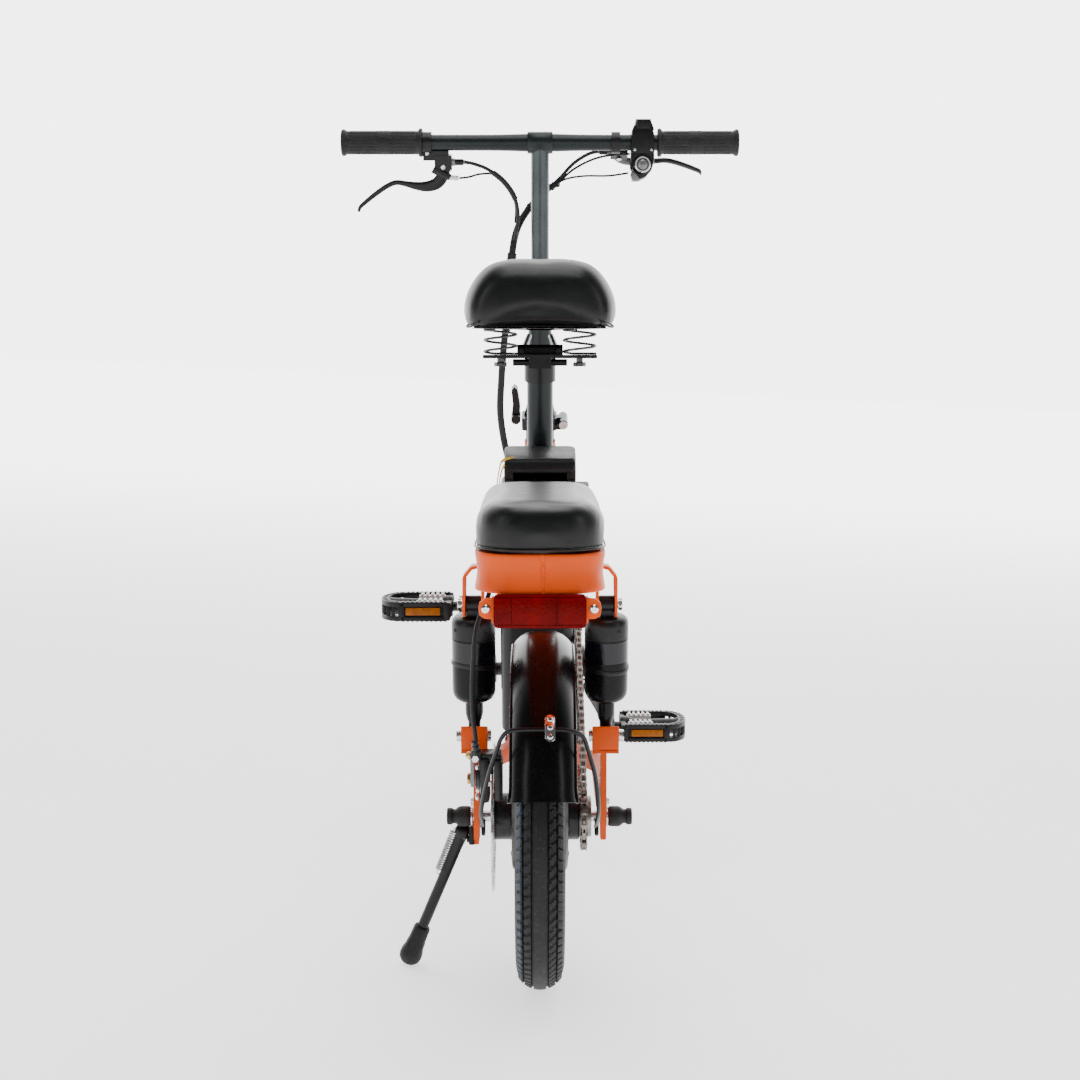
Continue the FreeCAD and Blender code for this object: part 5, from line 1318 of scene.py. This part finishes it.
def wrapped(line, radius):
    """A bundle's line with the ridges of a spiral wrap."""
    mesh = bmesh.new()
    tube(mesh, line, radius, 14)
    length = sum((b - a).length for a, b in zip(line, line[1:]))
    turns = max(2, int(length / 11))
    steps = turns * 12
    wrap = []
    for k in range(steps + 1):
        share = k / steps * (len(line) - 1)
        i = min(int(share), len(line) - 2)
        point = line[i].lerp(line[i + 1], share - i)
        side, up = across(line[i + 1] - line[i])
        a = math.tau * turns * k / steps
        wrap.append(point + (side * math.cos(a) + up * math.sin(a)) * (radius + 0.3))
    tube(mesh, wrap, 1.1, 6)
    return mesh


BUNDLE = ((26, 700, 920), (6, 707, 908), (-16, 704, 884), (-34, 690, 850), (-42, 686, 800), (-46, 688, 748),
          (-52, 696, 690), (-56, 706, 640), (-58, 716, 592), (-52, 728, 545), (-42, 728, 505),
          (-38, 718, 470))


def cables():
    """The thin cables at the bar, the bundle down the stem, and the rear brake's housing."""
    thin = bmesh.new()
    left = ((-106, 659.6, 945), (-92, 658, 942), (-72, 658, 934), (-50, 662, 917), (-35, 668, 894),
            (-31, 674, 868), (-36, 682, 838))
    second = ((-114, 664, 923), (-100, 666, 925), (-84, 666, 929), (-64, 664, 928), (-46, 668, 914),
              (-35, 676, 888), (-35, 682, 862))
    right = ((83, 678, 962), (68, 680, 958), (48, 686, 946), (30, 696, 928), (14, 704, 913))
    wires = ((124, 652, 929), (96, 660, 926), (62, 674, 927), (36, 690, 924), (18, 702, 915))
    third = ((126, 658, 956), (104, 668, 956), (76, 678, 951), (48, 690, 938), (26, 700, 920))
    for route, radius, sides in ((left, 2.5, 12), (second, 1.6, 10), (right, 2.5, 12), (wires, 1.5, 10),
                                 (third, 1.7, 10)):
        tube(thin, flowing(route), radius, sides)
    tube(thin, ((-150, 660, 936), (-138, 661, 929), (-127, 663, 924)), lambda share: 6.5 - 2 * share, 12)
    tube(thin, flowing(left)[18:33], 4, 12)
    emit("bar_cables", thin, "bars", RUBBER, ("cable_bundle",))
    plug = bmesh.new()
    tube(plug, ((-128, 663, 924), (-115, 664.3, 923)), 3.6, 12)
    emit("switch_plug", plug, "bars", WHITE)
    line = flowing(BUNDLE)
    top = wrapped(line[:17], 4.6)
    tube(top, line[16:33], 5, 16)
    tube(top, line[29:32], 6.6, 16)
    emit("bundle_top", top, "bars", RUBBER)
    stretches = (("upper", line[32:49], "stem", "bars"), ("middle", line[48:65], "fork", "stem"),
                 ("lower", line[64:], "front_frame", "fork"))
    for name, part, near, far in stretches:
        mesh = bmesh.new()
        tube(mesh, part, 5, 16)
        piece = emit("bundle_" + name, mesh, None, RUBBER)
        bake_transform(piece)
    rear = ((-31.5, 500, 388), (-50, 455, 402), (-54, 398, 418), (-52, 330, 436), (-52, 270, 444),
            (-51.5, 210, 446), (-52.5, 150, 445), (-51.5, 90, 446), (-52.5, 30, 445), (-51, -20, 444),
            (-53, -62, 432), (-65, -82, 400), (-69, -87, 350), (-69, -84, 312), (-67, -76, 290),
            (-66, -70, 276))
    housing = bmesh.new()
    tube(housing, flowing(rear, 6), 2.5, 12)
    piece = emit("rear_housing", housing, None, RUBBER, ("rear_brake_cable",))
    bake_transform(piece)


# ---- stage, lights, camera ------------------------------------------------------------------------


def gradient(tree, space, start, end, low, high):
    """A value that rises smoothly from low to high as Y goes from start to end."""
    place = tree.nodes.new("ShaderNodeTexCoord")
    split = tree.nodes.new("ShaderNodeSeparateXYZ")
    rise = tree.nodes.new("ShaderNodeMapRange")
    rise.interpolation_type = "SMOOTHSTEP"
    for name, value in (("From Min", start), ("From Max", end), ("To Min", low), ("To Max", high)):
        rise.inputs[name].default_value = value
    tree.links.new(place.outputs[space], split.inputs["Vector"])
    tree.links.new(split.outputs["Y"], rise.inputs["Value"])
    return rise.outputs["Result"]


def studio():
    """A white sweep behind the bicycle, a pale floor that glows with painted light, brighter towards the
    back, and softboxes to the left, right and above.
    """
    world = bpy.data.worlds.new("studio")
    bpy.context.scene.world = world
    world.use_nodes = True
    tree = world.node_tree
    back = tree.nodes["Background"]
    back.inputs["Color"].default_value = (1, 1, 1, 1)
    tree.links.new(gradient(tree, "Generated", 0.1, 0.85, 0.11, 5.0), back.inputs["Strength"])
    mesh = bmesh.new()
    bmesh.ops.create_grid(mesh, x_segments=2, y_segments=2, size=30)
    data = bpy.data.meshes.new("floor")
    mesh.to_mesh(data)
    mesh.free()
    floor = bpy.data.objects.new("floor", data)
    bpy.context.scene.collection.objects.link(floor)
    paper = surface("paper", (0.86, 0.86, 0.86), 0.8, spread=0.01, patch=3, grain=60, bump=0.02)
    shader = paper.node_tree.nodes["Principled BSDF"]
    # The floor glows though it is no lamp: painted light, its emission rising from 1.2 near the bicycle to
    # 4.0 far behind, standing in for light bouncing off a lit white floor.
    shader.inputs["Emission Color"].default_value = (1, 1, 1, 1)
    lit = gradient(paper.node_tree, "Object", 0.2, 7, 1.2, 4.0)
    paper.node_tree.links.new(lit, shader.inputs["Emission Strength"])
    data.materials.append(paper)
    lamps = (
        ("key_left", (-2.4, -2.2, 1.7), (0, 0, 0.55), 0.7, 2.0, 17),
        ("key_right", (2.5, -2.0, 1.7), (0, 0, 0.55), 0.7, 2.0, 17),
        ("top", (0, -0.3, 3.0), (0, 0, 0.4), 1.4, 2.0, 42),
        ("fill", (0.5, -3.6, 1.5), (0, 0, 0.5), 1.2, 1.2, 2.4),
    )
    for name, at, target, wide, tall, power in lamps:
        lamp = bpy.data.lights.new(name, "AREA")
        lamp.shape = "RECTANGLE"
        lamp.size = wide
        lamp.size_y = tall
        lamp.energy = power
        holder = bpy.data.objects.new(name, lamp)
        holder.location = at
        holder.rotation_euler = (Vector(target) - Vector(at)).to_track_quat("-Z", "Y").to_euler()
        bpy.context.scene.collection.objects.link(holder)


def photo_camera():
    """The photograph's viewpoint: behind the bicycle, level with the handlebar's lower side."""
    lens = bpy.data.cameras.new("camera")
    lens.sensor_width = 36
    lens.lens = 58.47
    camera = bpy.data.objects.new("camera", lens)
    bpy.context.scene.collection.objects.link(camera)
    pitch = math.radians(90 - 6.25)
    upright = Matrix.Translation((0, -1852, 685)) @ Matrix.Rotation(pitch, 4, "X")
    placed = TO_ROW @ upright
    turned = placed.to_quaternion().to_matrix().to_4x4()
    camera.matrix_world = Matrix.Translation(placed.translation) @ turned
    bpy.context.scene.camera = camera


# ---- CAD nodes that keep their shape --------------------------------------------------------------

FINISH = (
    (ORANGE, ("seat_tube", "main_tube_rear", "main_tube_front", "head_tube", "rear_rack",
              "reflector_bracket", "swingarm")),
    (SLATE, ("fork", "stem_post", "stem_base", "handlebar", "seatpost")),
    (ANODISED, ("upper_stem",)),
    (BLACK_GLOSS, ("front_fender", "rear_fender", "shock_bodies")),
    (BLACK_SATIN, ("kickstand", "saddle_frame", "seat_clamp", "seat_clamp_lever", "stem_clamp_lever",
                   "stem_latch_lever", "frame_latch_lever", "brake_mounts", "battery_case")),
    (STEEL, ("frame_hinge_pin", "stem_hinge_pin", "front_rotor", "rear_rotor", "front_axle",
             "swingarm_bolts", "upper_shock_bolts")),
    (DARK_STEEL, ("saddle_springs", "shock_rods")),
    (CHAIN_STEEL, ("chain", "freewheel")),
    (ALLOY, ("front_rim", "rear_rim", "hub_motor", "crankset", "front_caliper", "rear_caliper",
             "brake_lever_left", "brake_lever_right")),
    (GREY, ("rear_caliper_arm", "front_caliper_arm")),
    (PLASTIC, ("control_pod", "mode_button", "pedal_left", "pedal_right", "battery_cap")),
    (VINYL, ("pillion_pad", "saddle_cushion")),
    (RUBBER, ("grips", "cable_bundle", "rear_brake_cable", "rear_axle", "front_tyre", "rear_tyre")),
    (RED, ("rear_reflector",)),
)


def finish_nodes():
    """Give every CAD node its material."""
    for material, names in FINISH:
        for name in names:
            data = nodes[name].data
            data.materials.clear()
            data.materials.append(material)


finish_nodes()
tyre("rear_tyre_tread", "rear_wheel", 0, "rear_tyre")
tyre("front_tyre_tread", "front_wheel", FRONT_Y, "front_tyre")
wheel_rim("rear_cast_wheel", "rear_wheel", 0, "rear_rim", 60, 24, 6, 60)
wheel_rim("front_cast_wheel", "front_wheel", FRONT_Y, "front_rim", 20, 29.4, 6, 6.05)
rotor("rear_disc", "rear_wheel", 0, -51, "rear_rotor")
rotor("front_disc", "front_wheel", FRONT_Y, -31.5, "front_rotor")
fender("rear_guard", "swingarm", 0, 3, 35, 126, "rear_fender")
fender("front_guard", "fork", FRONT_Y, 0, 30, 125, "front_fender")
fender_stay()
pillion_pad()
saddle()
saddle_springs()
rack()
reflector()
shocks()
axle_ends()
rear_brake()
kickstand()
hub_cover()
chain()
crank_caps()
pedal("pedal_left", "left_pedal", -1, "pedal_left")
pedal("pedal_right", "right_pedal", 1, "pedal_right")
battery()
grips()
brake_levers()
pod()
cables()
studio()
photo_camera()
